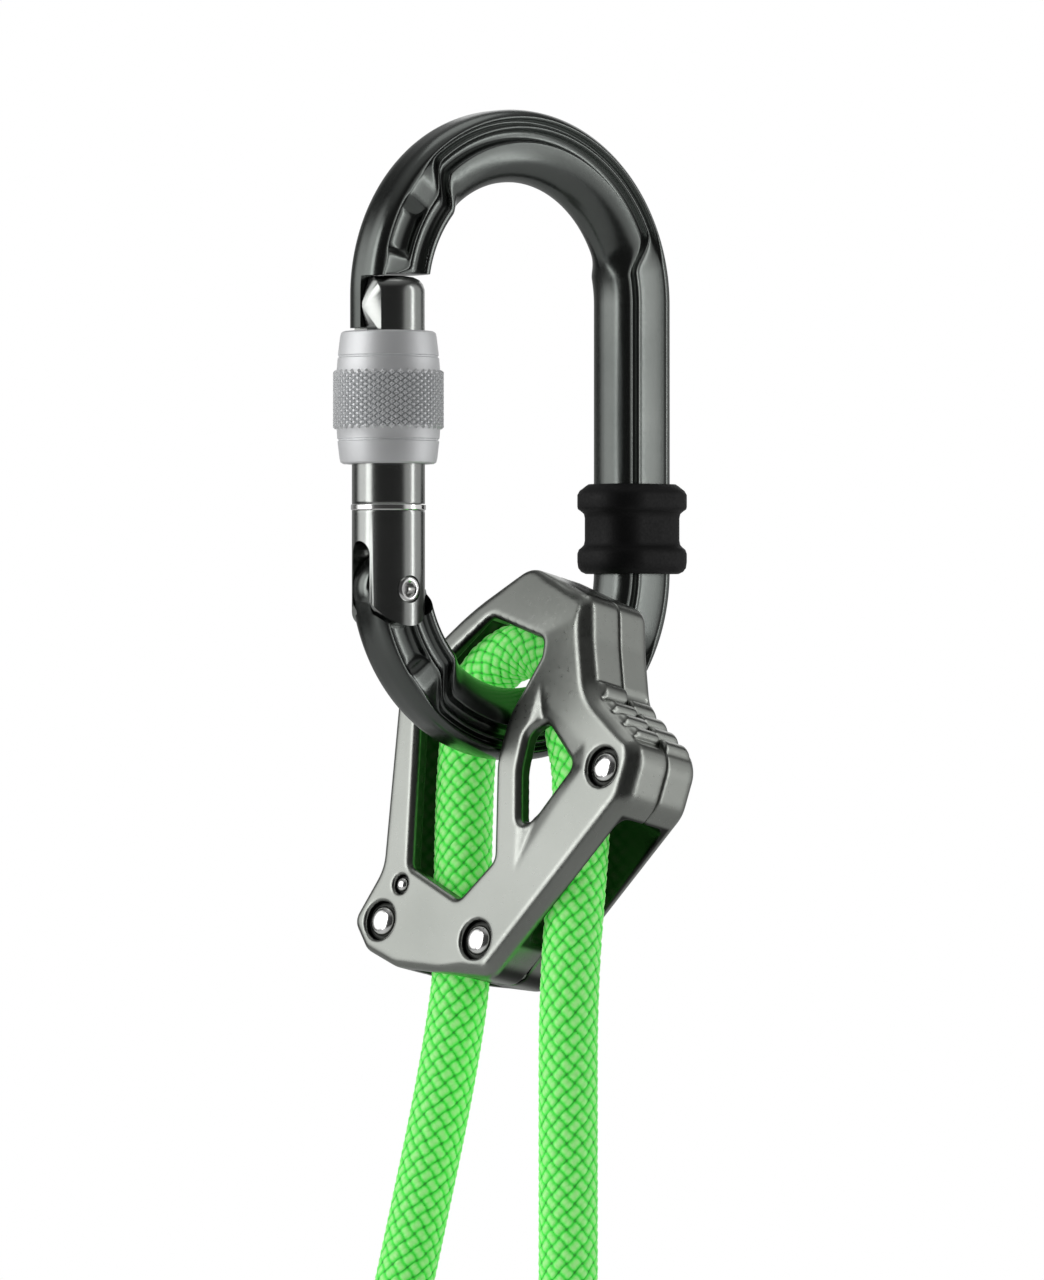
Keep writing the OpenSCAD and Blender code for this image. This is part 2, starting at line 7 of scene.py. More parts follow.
import bmesh
import bpy
import numpy as np
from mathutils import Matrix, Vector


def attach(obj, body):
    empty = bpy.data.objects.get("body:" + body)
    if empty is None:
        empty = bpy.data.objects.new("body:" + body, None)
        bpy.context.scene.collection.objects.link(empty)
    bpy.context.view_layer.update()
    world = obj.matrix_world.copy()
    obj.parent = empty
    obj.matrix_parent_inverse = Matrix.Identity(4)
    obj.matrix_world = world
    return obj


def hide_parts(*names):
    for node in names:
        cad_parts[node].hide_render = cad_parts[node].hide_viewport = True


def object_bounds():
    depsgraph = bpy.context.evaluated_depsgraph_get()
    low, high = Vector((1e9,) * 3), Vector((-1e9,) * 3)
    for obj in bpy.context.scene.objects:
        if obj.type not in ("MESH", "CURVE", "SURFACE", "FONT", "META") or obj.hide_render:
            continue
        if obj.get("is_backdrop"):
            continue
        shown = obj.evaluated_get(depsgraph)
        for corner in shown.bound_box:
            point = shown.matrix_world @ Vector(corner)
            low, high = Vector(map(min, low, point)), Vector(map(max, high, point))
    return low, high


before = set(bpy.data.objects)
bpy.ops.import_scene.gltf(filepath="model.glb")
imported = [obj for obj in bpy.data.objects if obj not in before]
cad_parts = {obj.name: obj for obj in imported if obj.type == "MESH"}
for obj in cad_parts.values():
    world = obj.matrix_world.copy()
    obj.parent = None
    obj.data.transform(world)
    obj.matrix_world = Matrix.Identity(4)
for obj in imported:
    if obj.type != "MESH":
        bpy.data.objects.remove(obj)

import openvdb
from mathutils import Matrix, Vector

LOG = logging.getLogger("belay_device")
MM = 0.001
Point = tuple[float, ...]


# ---------------------------------------------------------------- materials


class Grain(Enum):
    """Kinds of fine surface texture, with the waves per metre of each."""

    FORGED = 1400.0
    TURNED = 900.0
    BLASTED = 5200.0
    POLISHED = 500.0
    MOULDED = 2600.0


class NodeTree:
    """A material's node tree, with short ways to add and join nodes."""

    def __init__(self, name: str) -> None:
        """Starts an empty material.

        Args:
            name: The material's name.
        """
        self.material = bpy.data.materials.new(name)
        self.material.use_nodes = True
        self.tree = self.material.node_tree
        self.tree.nodes.clear()
        self.out = self.add("ShaderNodeOutputMaterial")
        self.shader = self.add("ShaderNodeBsdfPrincipled")
        self.link(self.shader, "BSDF", self.out, "Surface")

    def add(self, kind: str, **settings: object) -> bpy.types.Node:
        """Adds a node.

        Args:
            kind: The node's type name.
            **settings: Properties, or input values where no property has the name.

        Returns:
            The new node.
        """
        node = self.tree.nodes.new(kind)
        for key, value in settings.items():
            if hasattr(node, key):
                setattr(node, key, value)
            else:
                node.inputs[key.replace("_", " ")].default_value = value
        return node

    def link(self, source: bpy.types.Node, out: str | int, target: bpy.types.Node, into: str | int) -> None:
        """Joins the output of one node to the input of another."""
        self.tree.links.new(source.outputs[out], target.inputs[into])

    def noise(self, scale: float, detail: float = 3.0) -> bpy.types.Node:
        """Adds a noise texture on the piece's own coordinates.

        Args:
            scale: Waves per metre.
            detail: Octaves.

        Returns:
            The noise node.
        """
        place = self.add("ShaderNodeTexCoord")
        noise = self.add("ShaderNodeTexNoise", Scale=scale, Detail=detail)
        self.link(place, "Object", noise, "Vector")
        return noise

    def ramp(self, source: bpy.types.Node, out: str, stops: list[tuple[float, Point]]) -> bpy.types.Node:
        """Adds a colour ramp.

        Args:
            source: Node whose output is mapped.
            out: The output's name.
            stops: Positions and colours.

        Returns:
            The ramp node.
        """
        ramp = self.add("ShaderNodeValToRGB")
        elements = ramp.color_ramp.elements
        while len(elements) < len(stops):
            elements.new(0.5)
        for element, (at, colour) in zip(elements, stops):
            element.position = at
            element.color = (*colour, 1.0)
        self.link(source, out, ramp, "Fac")
        return ramp

    def spread(self, source: bpy.types.Node, out: str, low: float, high: float) -> bpy.types.Node:
        """Maps a value from about 0.3 to 0.7 onto a range.

        Args:
            source: Node whose output is mapped.
            out: The output's name.
            low: Result at the low end.
            high: Result at the high end.

        Returns:
            The mapping node.
        """
        node = self.add("ShaderNodeMapRange")
        for name, value in (("From Min", 0.3), ("From Max", 0.7), ("To Min", low), ("To Max", high)):
            node.inputs[name].default_value = value
        self.link(source, out, node, "Value")
        return node

    def multiply(self, first: bpy.types.Node, second: bpy.types.Node) -> bpy.types.NodeSocket:
        """Multiplies the colours of two nodes.

        Args:
            first: Node with a Color output.
            second: The other one.

        Returns:
            The socket with the product.
        """
        mix = self.add("ShaderNodeMix", data_type="RGBA", blend_type="MULTIPLY")
        mix.inputs[0].default_value = 1.0
        self.tree.links.new(first.outputs["Color"], mix.inputs[6])
        self.tree.links.new(second.outputs["Color"], mix.inputs[7])
        return mix.outputs[2]

    def bump(self, source: bpy.types.Node, out: str, depth: float, strength: float) -> None:
        """Adds a bump node and joins it to the shader's normal.

        Args:
            source: Node with the height.
            out: The output's name.
            depth: Height in metres.
            strength: Share of the effect.
        """
        node = self.add("ShaderNodeBump", Distance=depth, Strength=strength)
        self.link(source, out, node, "Height")
        self.link(node, "Normal", self.shader, "Normal")


@dataclass(frozen=True)
class MetalFinish:
    """A metal or moulded surface with its own colour spread, roughness and grain.

    The field patch is the waves per metre of the colour, depth is the grain's height in metres, and inside is
    the share of the colour that the walls of openings, rivet seats and the cavity keep: a painted shade for these
    hollows.
    """

    name: str
    dark: Point
    light: Point
    rough: tuple[float, float]
    grain: Grain
    metallic: float = 1.0
    patch: float = 60.0
    depth: float = 0.000012
    inside: float = 1.0
    specular: float = 0.5

    def material(self) -> bpy.types.Material:
        """Builds the procedural material.

        Returns:
            The material.
        """
        nodes = NodeTree(self.name)
        shader = nodes.shader
        shader.inputs["Metallic"].default_value = self.metallic
        shader.inputs["Specular IOR Level"].default_value = self.specular
        patches = nodes.noise(self.patch, 4.0)
        tint = nodes.ramp(patches, "Fac", [(0.3, self.dark), (0.7, self.light)])
        # where inside is below 1, the walls of openings, seats and the cavity get painted shade
        if self.inside < 1.0:
            self._paint_shade_in_hollows(nodes, tint)
        else:
            nodes.link(tint, "Color", shader, "Base Color")
        fine = self._grain(nodes)
        rough = nodes.spread(fine, "Fac", *self.rough)
        nodes.link(rough, "Result", shader, "Roughness")
        nodes.bump(fine, "Fac", self.depth, 0.6)
        return nodes.material

    def _paint_shade_in_hollows(self, nodes: NodeTree, tint: bpy.types.Node) -> None:
        """Paints shade on the walls of openings, seats and the cavity by darkening their colour.

        Args:
            nodes: The material's nodes.
            tint: Node that holds the outer colour.
        """
        inside = nodes.add("ShaderNodeAttribute", attribute_name="inside")
        shade = nodes.ramp(inside, "Fac", [(0.0, (1.0, 1.0, 1.0)), (1.0, (self.inside,) * 3)])
        nodes.tree.links.new(nodes.multiply(tint, shade), nodes.shader.inputs["Base Color"])

    def _grain(self, nodes: NodeTree) -> bpy.types.Node:
        """Adds the texture that the kind of grain needs.

        Args:
            nodes: The material's nodes.

        Returns:
            The texture node.
        """
        if self.grain is not Grain.TURNED:
            return nodes.noise(self.grain.value, 4.0)
        place = nodes.add("ShaderNodeTexCoord")
        stretch = nodes.add("ShaderNodeMapping")
        stretch.inputs["Scale"].default_value = (0.05, 0.05, 9.0)
        noise = nodes.add("ShaderNodeTexNoise", Scale=self.grain.value, Detail=3.0)
        nodes.link(place, "Object", stretch, "Vector")
        nodes.link(stretch, "Vector", noise, "Vector")
        return noise


@dataclass(frozen=True)
class SheathFinish:
    """Braided rope sheath: the braid's height paints shade into the pits and a highlight onto the crowns, and
    fibres run along each yarn.

    The field fibre is the number of fibres across a yarn, and glow is a painted glow: the sheath gives off its own
    colour as light, though it is no lamp.
    """

    name: str
    pit_painted_shade: Point
    body: Point
    crown: Point
    fibre: float = 14.0
    rough: float = 0.62
    sheen: float = 0.35
    glow: float = 0.4

    def material(self) -> bpy.types.Material:
        """Builds the procedural material.

        Returns:
            The material.
        """
        nodes = NodeTree(self.name)
        shader = nodes.shader
        shader.inputs["Roughness"].default_value = self.rough
        shader.inputs["Sheen Weight"].default_value = self.sheen
        shader.inputs["Sheen Roughness"].default_value = 0.4
        lift = nodes.add("ShaderNodeAttribute", attribute_name="lift")
        # painted shade in the braid's pits and painted highlight on its crowns, by the stored weave height
        shade = nodes.ramp(lift, "Fac", [(0.05, self.pit_painted_shade), (0.5, self.body), (0.95, self.crown)])
        yarn = nodes.add("ShaderNodeUVMap", uv_map="yarn")
        stretch = nodes.add("ShaderNodeMapping")
        stretch.inputs["Scale"].default_value = (1.5, self.fibre, 1.0)
        fibres = nodes.add("ShaderNodeTexNoise", Scale=1.6, Detail=2.0)
        nodes.link(yarn, "UV", stretch, "Vector")
        nodes.link(stretch, "Vector", fibres, "Vector")
        strands = nodes.ramp(fibres, "Fac", [(0.3, (0.72, 0.72, 0.72)), (0.7, (1.1, 1.1, 1.1))])
        colour = nodes.multiply(shade, strands)
        nodes.tree.links.new(colour, shader.inputs["Base Color"])
        # painted glow: the sheath's colour is also its emission
        nodes.tree.links.new(colour, shader.inputs["Emission Color"])
        shader.inputs["Emission Strength"].default_value = self.glow
        nodes.bump(fibres, "Fac", 0.00006, 0.7)
        return nodes.material


@dataclass(frozen=True)
class Finishes:
    """Every finish on the object."""

    body: MetalFinish = MetalFinish(
        "body_anodising", (0.115, 0.124, 0.118), (0.15, 0.16, 0.152), (0.22, 0.27), Grain.FORGED, patch=45.0,
        depth=0.0000012
    )
    gate: MetalFinish = MetalFinish(
        "gate_anodising", (0.29, 0.3, 0.288), (0.34, 0.35, 0.338), (0.2, 0.25), Grain.TURNED, depth=0.000001
    )
    # inside=0.12 paints shade on the shell's openings, rivet seats and cavity: they keep 12% of the colour
    shell: MetalFinish = MetalFinish(
        "shell_anodising", (0.27, 0.282, 0.262), (0.32, 0.332, 0.31), (0.27, 0.33), Grain.FORGED, patch=38.0,
        depth=0.0000008, inside=0.12
    )
    sleeve: MetalFinish = MetalFinish(
        "sleeve_blasting", (0.8, 0.81, 0.82), (0.87, 0.88, 0.89), (0.48, 0.58), Grain.BLASTED,
        metallic=0.5
    )
    polished: MetalFinish = MetalFinish(
        "polished_steel", (0.8, 0.8, 0.79), (0.88, 0.88, 0.87), (0.14, 0.22), Grain.POLISHED, depth=0.000001
    )
    insert: MetalFinish = MetalFinish(
        "insert_steel", (0.3, 0.3, 0.3), (0.42, 0.42, 0.41), (0.3, 0.42), Grain.TURNED
    )
    thimble: MetalFinish = MetalFinish(
        "thimble_metal", (0.62, 0.63, 0.64), (0.72, 0.72, 0.73), (0.3, 0.42), Grain.BLASTED
    )
    rubber: MetalFinish = MetalFinish(
        "keeper_rubber", (0.006, 0.006, 0.0062), (0.011, 0.011, 0.0115), (0.5, 0.66), Grain.MOULDED,
        metallic=0.0, depth=0.00006, specular=0.22
    )
    shrink: MetalFinish = MetalFinish(
        "shrink_tube", (0.014, 0.014, 0.015), (0.026, 0.026, 0.027), (0.34, 0.48), Grain.MOULDED,
        metallic=0.0, depth=0.00003
    )
    thread: MetalFinish = MetalFinish(
        "whipping_thread", (0.02, 0.02, 0.022), (0.05, 0.05, 0.052), (0.6, 0.8), Grain.MOULDED,
        metallic=0.0, depth=0.00004
    )
    # rope: the pit colour is painted shade, the crown colour a painted highlight, and the glow of 0.4 a painted
    # glow
    sheath: SheathFinish = SheathFinish(
        "rope_sheath", (0.0, 0.02, 0.001), (0.08, 0.95, 0.08), (0.4, 1.0, 0.3)
    )

    def build(self) -> dict[str, bpy.types.Material]:
        """Builds one material for each finish.

        Returns:
            Materials by the finish's field name.
        """
        return {key: finish.material() for key, finish in vars(type(self)()).items()}


# ---------------------------------------------------------------- geometry tools


@dataclass(frozen=True)
class Seat:
    """The device's leaning frame: x across the plates, y front to back, z up the plates, in mm."""

    at: Point = (2.0, 0.0, -89.7)
    turn: float = 80.0
    lean: float = 12.0

    def matrix(self) -> Matrix:
        """Works out the frame's matrix.

        Returns:
            The matrix, from the frame's millimetres to the object's metres.
        """
        turn = Matrix.Rotation(math.radians(-self.turn), 4, "Z")
        lean = Matrix.Rotation(math.radians(-self.lean), 4, "X")
        place = Matrix.Translation(Vector(self.at) * MM)
        return place @ turn @ lean @ Matrix.Scale(MM, 4)

    def world(self, points: np.ndarray) -> np.ndarray:
        """Takes points from the frame to the object's metres.

        Args:
            points: Rows of x, y, z in mm.

        Returns:
            Rows of x, y, z in metres.
        """
        m = np.array(self.matrix())
        return np.asarray(points, float) @ m[:3, :3].T + m[:3, 3]


def mesh_object(name: str, verts: np.ndarray, faces: list, sharp: float = 180.0) -> bpy.types.Object:
    """Makes a smooth-shaded object whose faces point outwards.

    Args:
        name: The object's name.
        verts: Rows of x, y, z in metres.
        faces: Vertex numbers of each face.
        sharp: Angle in degrees above which an edge stays sharp.

    Returns:
        The object, linked to the scene.
    """
    mesh = bpy.data.meshes.new(name)
    mesh.from_pydata([tuple(v) for v in np.asarray(verts, float)], [], [tuple(f) for f in faces])
    return finish_mesh(name, mesh, sharp)


def finish_mesh(name: str, mesh: bpy.types.Mesh, sharp: float) -> bpy.types.Object:
    """Turns a mesh's faces outwards, shades it smooth and links it as an object.

    Args:
        name: The object's name.
        mesh: The mesh.
        sharp: Angle in degrees above which an edge stays sharp.

    Returns:
        The object.
    """
    work = bmesh.new()
    work.from_mesh(mesh)
    bmesh.ops.recalc_face_normals(work, faces=work.faces)
    if work.calc_volume(signed=True) < 0:
        bmesh.ops.reverse_faces(work, faces=work.faces)
    work.to_mesh(mesh)
    work.free()
    mesh.polygons.foreach_set("use_smooth", [True] * len(mesh.polygons))
    if sharp < 180.0:
        mesh.set_sharp_from_angle(angle=math.radians(sharp))
    mesh.update()
    piece = bpy.data.objects.new(name, mesh)
    bpy.context.scene.collection.objects.link(piece)
    return piece


def dress(piece: bpy.types.Object, material: bpy.types.Material) -> bpy.types.Object:
    """Gives a piece one material.

    Args:
        piece: The object.
        material: Its material.

    Returns:
        The same object.
    """
    piece.data.materials.clear()
    piece.data.materials.append(material)
    return piece


def cut(piece: bpy.types.Object, tool: bpy.types.Object, operation: str = "DIFFERENCE") -> None:
    """Applies a boolean of one closed piece on another and removes the tool.

    Args:
        piece: The object that is changed.
        tool: The object that cuts or joins.
        operation: DIFFERENCE, UNION or INTERSECT.
    """
    modifier = piece.modifiers.new("cut", "BOOLEAN")
    modifier.object = tool
    modifier.operation = operation
    modifier.solver = "EXACT"
    graph = bpy.context.evaluated_depsgraph_get()
    graph.update()
    result = bpy.data.meshes.new_from_object(piece.evaluated_get(graph))
    piece.modifiers.clear()
    piece.data = result
    bpy.data.objects.remove(tool)


def tidy_shading(piece: bpy.types.Object, sharp: float) -> None:
    """Merges doubles that a boolean leaves and marks the sharp edges again.

    Args:
        piece: The object.
        sharp: Angle in degrees above which an edge stays sharp.
    """
    work = bmesh.new()
    work.from_mesh(piece.data)
    bmesh.ops.remove_doubles(work, verts=work.verts, dist=0.000002)
    work.to_mesh(piece.data)
    work.free()
    piece.data.polygons.foreach_set("use_smooth", [True] * len(piece.data.polygons))
    piece.data.set_sharp_from_angle(angle=math.radians(sharp))


def lathe(
    name: str, profile: list[Point], axis: Matrix, sides: int = 96, sharp: float = 40.0
) -> bpy.types.Object:
    """Turns a profile of (radius, height) in mm about an axis.

    Args:
        name: The object's name.
        profile: Points from one end to the other. A radius of 0 closes an end; otherwise the ring closes.
        axis: Matrix whose Z is the axis, from mm to metres.
        sides: Steps round the axis.
        sharp: Angle in degrees above which an edge stays sharp.

    Returns:
        The object.
    """
    closed = profile[0][0] > 1e-6
    verts, rings = [], []
    for radius, height in profile:
        if radius < 1e-6:
            rings.append([len(verts)] * sides)
            verts.append((0.0, 0.0, height))
            continue
        rings.append(list(range(len(verts), len(verts) + sides)))
        for k in range(sides):
            turn = math.tau * k / sides
            verts.append((radius * math.cos(turn), radius * math.sin(turn), height))
    pairs = list(zip(rings, rings[1:] + rings[:1])) if closed else list(zip(rings, rings[1:]))
    faces = []
    for low, high in pairs:
        for k in range(sides):
            j = (k + 1) % sides
            ring = [low[k], low[j], high[j], high[k]]
            corners = [v for i, v in enumerate(ring) if v != ring[i - 1]]
            if len(corners) > 2:
                faces.append(corners)
    placed = [axis @ Vector(v) for v in verts]
    return mesh_object(name, placed, faces, sharp)


def axis_at(at: Point, towards: Point, size: float = MM) -> Matrix:
    """Returns a frame at a point in mm of the object whose Z runs towards a direction."""
    turn = Vector(towards).to_track_quat("Z", "Y").to_matrix().to_4x4()
    return Matrix.Translation(Vector(at) * MM) @ turn @ Matrix.Scale(size, 4)


def box_tool(low: Point, high: Point, place: Matrix | None = None) -> bpy.types.Object:
    """Makes a box to cut with.

    Args:
        low: One corner in mm.
        high: The opposite corner.
        place: Frame of the two corners, from mm to metres. Without it they are the object's own.

    Returns:
        The box.
    """
    place = place or Matrix.Scale(MM, 4)
    corners = [place @ Vector([(low, high)[(k >> i) & 1][i] for i in range(3)]) for k in range(8)]
    faces = [(0, 2, 3, 1), (4, 5, 7, 6), (0, 1, 5, 4), (2, 6, 7, 3), (0, 4, 6, 2), (1, 3, 7, 5)]
    return mesh_object("cutter", corners, faces)


def prism_tool(front: list[Point], back: list[Point]) -> bpy.types.Object:
    """Makes a prism to cut with.

    Args:
        front: Corners of one end as x, y, z in mm.
        back: The same corners at the other end.

    Returns:
        The prism.
    """
    count = len(front)
    faces = [tuple(range(count)), tuple(range(2 * count - 1, count - 1, -1))]
    faces += [(k, (k + 1) % count, (k + 1) % count + count, k + count) for k in range(count)]
    return mesh_object("cutter", np.array([*front, *back]) * MM, faces)


def drum_tool(radius: float, low: float, high: float, axis: Matrix, sides: int) -> bpy.types.Object:
    """Makes a cylinder between two heights on an axis, in mm, to cut with."""
    return lathe("cutter", [(0, low), (radius, low), (radius, high), (0, high)], axis, sides)


def rounded(points: list[Point], steps: int = 7) -> np.ndarray:
    """Rounds the corners of a closed outline.

    Args:
        points: Corners as (x, z, radius) in mm.
        steps: Steps in each arc.

    Returns:
        Rows of x, z in mm.
    """
    outline = []
    count = len(points)
    for i, (x, z, radius) in enumerate(points):
        at = np.array([x, z])
        arms = [np.array(points[(i + k) % count][:2]) - at for k in (-1, 1)]
        arms = [arm / np.linalg.norm(arm) for arm in arms]
        half = math.acos(float(np.clip(arms[0] @ arms[1], -1, 1))) / 2
        middle = (arms[0] + arms[1]) / np.linalg.norm(arms[0] + arms[1])
        centre = at + middle * radius / math.sin(half)
        ends = [at + arm * radius / math.tan(half) - centre for arm in arms]
        start, stop = (math.atan2(e[1], e[0]) for e in ends)
        sweep = (stop - start + 3 * math.pi) % math.tau - math.pi
        for k in range(steps + 1):
            turn = start + sweep * k / steps
            outline.append(centre + radius * np.array([math.cos(turn), math.sin(turn)]))
    return np.array(outline)


def outline_distance(outline: np.ndarray, x: np.ndarray, z: np.ndarray) -> np.ndarray:
    """Signed distance to a closed outline, negative inside.

    Args:
        outline: Rows of x, z.
        x: Grid of x.
        z: Grid of z.

    Returns:
        Grid of distances.
    """
    nearest = np.full(x.shape, 1e9)
    inside = np.zeros(x.shape, bool)
    for (ax, az), (bx, bz) in zip(outline, np.roll(outline, -1, axis=0)):
        dx, dz = bx - ax, bz - az
        share = np.clip(((x - ax) * dx + (z - az) * dz) / max(dx * dx + dz * dz, 1e-12), 0, 1)
        nearest = np.minimum(nearest, (x - ax - share * dx) ** 2 + (z - az - share * dz) ** 2)
        crosses = (az > z) != (bz > z)
        with np.errstate(divide="ignore", invalid="ignore"):
            side = x < ax + (z - az) * dx / (bz - az)
        inside ^= crosses & side
    return np.where(inside, -1, 1) * np.sqrt(nearest)


def soft_max(a: np.ndarray, b: np.ndarray, blend: float | np.ndarray) -> np.ndarray:
    """Larger of two fields, rounded where they meet over a width in mm."""
    h = np.clip(0.5 + 0.5 * (a - b) / blend, 0, 1)
    return b + (a - b) * h + blend * h * (1 - h)


def soft_step(value: np.ndarray | float, low: float, high: float) -> np.ndarray:
    """Smooth step from 0 at low to 1 at high."""
    t = np.clip((np.asarray(value, float) - low) / (high - low), 0, 1)
    return t * t * (3 - 2 * t)


def field_object(name: str, values: np.ndarray, low: Point, step: float, seat: Seat) -> bpy.types.Object:
    """Meshes the zero surface of a field on a grid.

    Args:
        name: The object's name.
        values: Signed distances in mm, negative inside.
        low: The grid's first corner in mm.
        step: Grid step in mm.
        seat: Frame that the grid is in.

    Returns:
        The object.
    """
    grid = openvdb.FloatGrid(background=3.0)
    grid.copyFromArray(np.ascontiguousarray(np.clip(values, -3, 3), dtype=np.float32))
    points, triangles, quads = grid.convertToPolygons(isovalue=0.0, adaptivity=0.0)
    verts = seat.world(np.array(points, float) * step + np.array(low))
    faces = [tuple(int(i) for i in f) for f in quads] + [tuple(int(i) for i in f) for f in triangles]
    piece = mesh_object(name, verts, faces)
    work = bmesh.new()
    work.from_mesh(piece.data)
    for _ in range(2):
        bmesh.ops.smooth_vert(
            work, verts=work.verts, factor=0.5, use_axis_x=True, use_axis_y=True, use_axis_z=True
        )
    work.to_mesh(piece.data)
    work.free()
    return piece


# ---------------------------------------------------------------- studio


@dataclass(frozen=True)
class Lamp:
    """A soft box: its aim (right, towards the camera, up), metres away, size in metres and watts."""

    name: str
    aim: Point
    distance: float
    size: Point
    power: float


@dataclass(frozen=True)
class Glow:
    """A bright side of the surroundings: its aim, the cosines between which it fades in, and its strength."""

    aim: Point
    low: float
    high: float
    level: float


@dataclass
class Studio:
    """Camera, lights, floor and surroundings."""

    azimuth: float = -38.0
    lens: float = 200.0
    tall: float = 0.2126
    target: Point = (0.0013, -0.0010, -0.0760)
    sensor: float = 36.0
    floor_z: float = -0.30
    floor_radius: float = 0.6
    dim: float = 0.055
    lamps: tuple[Lamp, ...] = (
        Lamp("key", (-0.9, 0.45, 0.2), 0.9, (0.3, 0.9), 2.6),
        Lamp("side", (1.0, 0.12, 0.1), 0.9, (0.12, 1.0), 1.5),
        Lamp("front", (0.1, 1.0, -1.0), 1.0, (0.4, 0.3), 1.7),
        Lamp("crown", (0.0, -0.2, 1.0), 0.8, (0.5, 0.4), 0.6),
        Lamp("behind", (0.2, -1.0, 0.4), 1.0, (0.6, 0.6), 0.8),
    )
    glows: tuple[Glow, ...] = (
        Glow((1.0, 0.0, 0.0), 0.72, 0.86, 0.75), Glow((-1.0, 0.0, 0.25), 0.86, 0.98, 2.1),
        Glow((0.0, 0.0, 1.0), 0.6, 0.95, 0.35), Glow((0.0, 0.0, -1.0), 0.5, 0.95, 0.3),
        Glow((0.0, -1.0, 0.0), 0.5, 0.95, 0.4),
    )

    def across(self) -> Vector:
        """Returns the direction to the right of the view."""
        turn = math.radians(self.azimuth)
        return Vector((math.cos(turn), math.sin(turn), 0.0))

    def towards(self) -> Vector:
        """Returns the direction from the object to the camera."""
        right = self.across()
        return Vector((right.y, -right.x, 0.0))

    def way(self, aim: Point) -> Vector:
        """Turns right, towards the camera and up into a direction of the object."""
        return (self.across() * aim[0] + self.towards() * aim[1] + Vector((0, 0, aim[2]))).normalized()

    def camera(self) -> None:
        """Makes the camera level with the object's middle."""
        data = bpy.data.cameras.new("camera")
        data.lens = self.lens
        data.sensor_width = self.sensor
        data.clip_start = 0.05
        camera = bpy.data.objects.new("camera", data)
        bpy.context.scene.collection.objects.link(camera)
        back = self.towards()
        camera.location = Vector(self.target) + back * (self.tall * self.lens / self.sensor)
        camera.rotation_euler = back.to_track_quat("Z", "Y").to_euler()
        bpy.context.scene.camera = camera

    def light(self, lamp: Lamp) -> None:
        """Adds a soft box.

        Args:
            lamp: Its place and power.
        """
        data = bpy.data.lights.new(lamp.name, "AREA")
        data.shape = "RECTANGLE"
        data.size, data.size_y = lamp.size
        data.energy = lamp.power
        holder = bpy.data.objects.new(lamp.name, data)
        bpy.context.scene.collection.objects.link(holder)
        way = self.way(lamp.aim)
        holder.location = Vector(self.target) + way * lamp.distance
        holder.rotation_euler = way.to_track_quat("Z", "Y").to_euler()

    def surroundings(self) -> None:
        """Makes a white world for the camera and soft boxes with dark gaps for reflections."""
        world = bpy.data.worlds.new("studio")
        bpy.context.scene.world = world
        world.use_nodes = True
        tree = world.node_tree
        tree.nodes.clear()
        place = tree.nodes.new("ShaderNodeTexCoord")
        total = None
        for glow in self.glows:
            dot = tree.nodes.new("ShaderNodeVectorMath")
            dot.operation = "DOT_PRODUCT"
            dot.inputs[1].default_value = self.way(glow.aim)
            tree.links.new(place.outputs["Generated"], dot.inputs[0])
            fade = tree.nodes.new("ShaderNodeMapRange")
            fade.interpolation_type = "SMOOTHSTEP"
            for name, value in (("From Min", glow.low), ("From Max", glow.high), ("To Max", glow.level)):
                fade.inputs[name].default_value = value
            tree.links.new(dot.outputs["Value"], fade.inputs["Value"])
            more = tree.nodes.new("ShaderNodeMath")
            more.operation = "ADD"
            more.inputs[1].default_value = self.dim
            tree.links.new(fade.outputs["Result"], more.inputs[0])
            if total is not None:
                tree.links.new(total, more.inputs[1])
            total = more.outputs["Value"]
        around = tree.nodes.new("ShaderNodeBackground")
        tree.links.new(total, around.inputs["Strength"])
        white = tree.nodes.new("ShaderNodeBackground")
        white.inputs["Strength"].default_value = 1.0
        white.inputs["Color"].default_value = (1, 1, 1, 1)
        path = tree.nodes.new("ShaderNodeLightPath")
        mix = tree.nodes.new("ShaderNodeMixShader")
        out = tree.nodes.new("ShaderNodeOutputWorld")
        tree.links.new(path.outputs["Is Camera Ray"], mix.inputs[0])
        tree.links.new(around.outputs["Background"], mix.inputs[1])
        tree.links.new(white.outputs["Background"], mix.inputs[2])
        tree.links.new(mix.outputs["Shader"], out.inputs["Surface"])

    def floor(self) -> None:
        """Makes the pale floor far below the hanging object."""
        sides = 96
        turns = [math.tau * k / sides for k in range(sides)]
        ring = [(self.floor_radius * math.cos(t), self.floor_radius * math.sin(t)) for t in turns]
        low = self.floor_z - 0.004
        verts = [(x, y, self.floor_z) for x, y in ring] + [(x, y, low) for x, y in ring]
        faces = [tuple(range(sides)), tuple(reversed(range(sides, 2 * sides)))]
        faces += [(k + sides, (k + 1) % sides + sides, (k + 1) % sides, k) for k in range(sides)]
        plate = mesh_object("floor", np.array(verts), faces, sharp=30)
        nodes = NodeTree("pale_floor")
        cloud = nodes.noise(6.0)
        tint = nodes.ramp(cloud, "Fac", [(0.3, (0.82, 0.82, 0.82)), (0.7, (0.86, 0.86, 0.86))])
        nodes.link(tint, "Color", nodes.shader, "Base Color")
        nodes.shader.inputs["Roughness"].default_value = 0.7
        dress(plate, nodes.material)
        plate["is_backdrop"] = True

    def build(self) -> None:
        """Makes the camera, the lights and the floor."""
        self.camera()
        self.surroundings()
        for lamp in self.lamps:
            self.light(lamp)
        self.floor()
        bpy.context.scene.view_settings.view_transform = "Standard"


# ---------------------------------------------------------------- rope


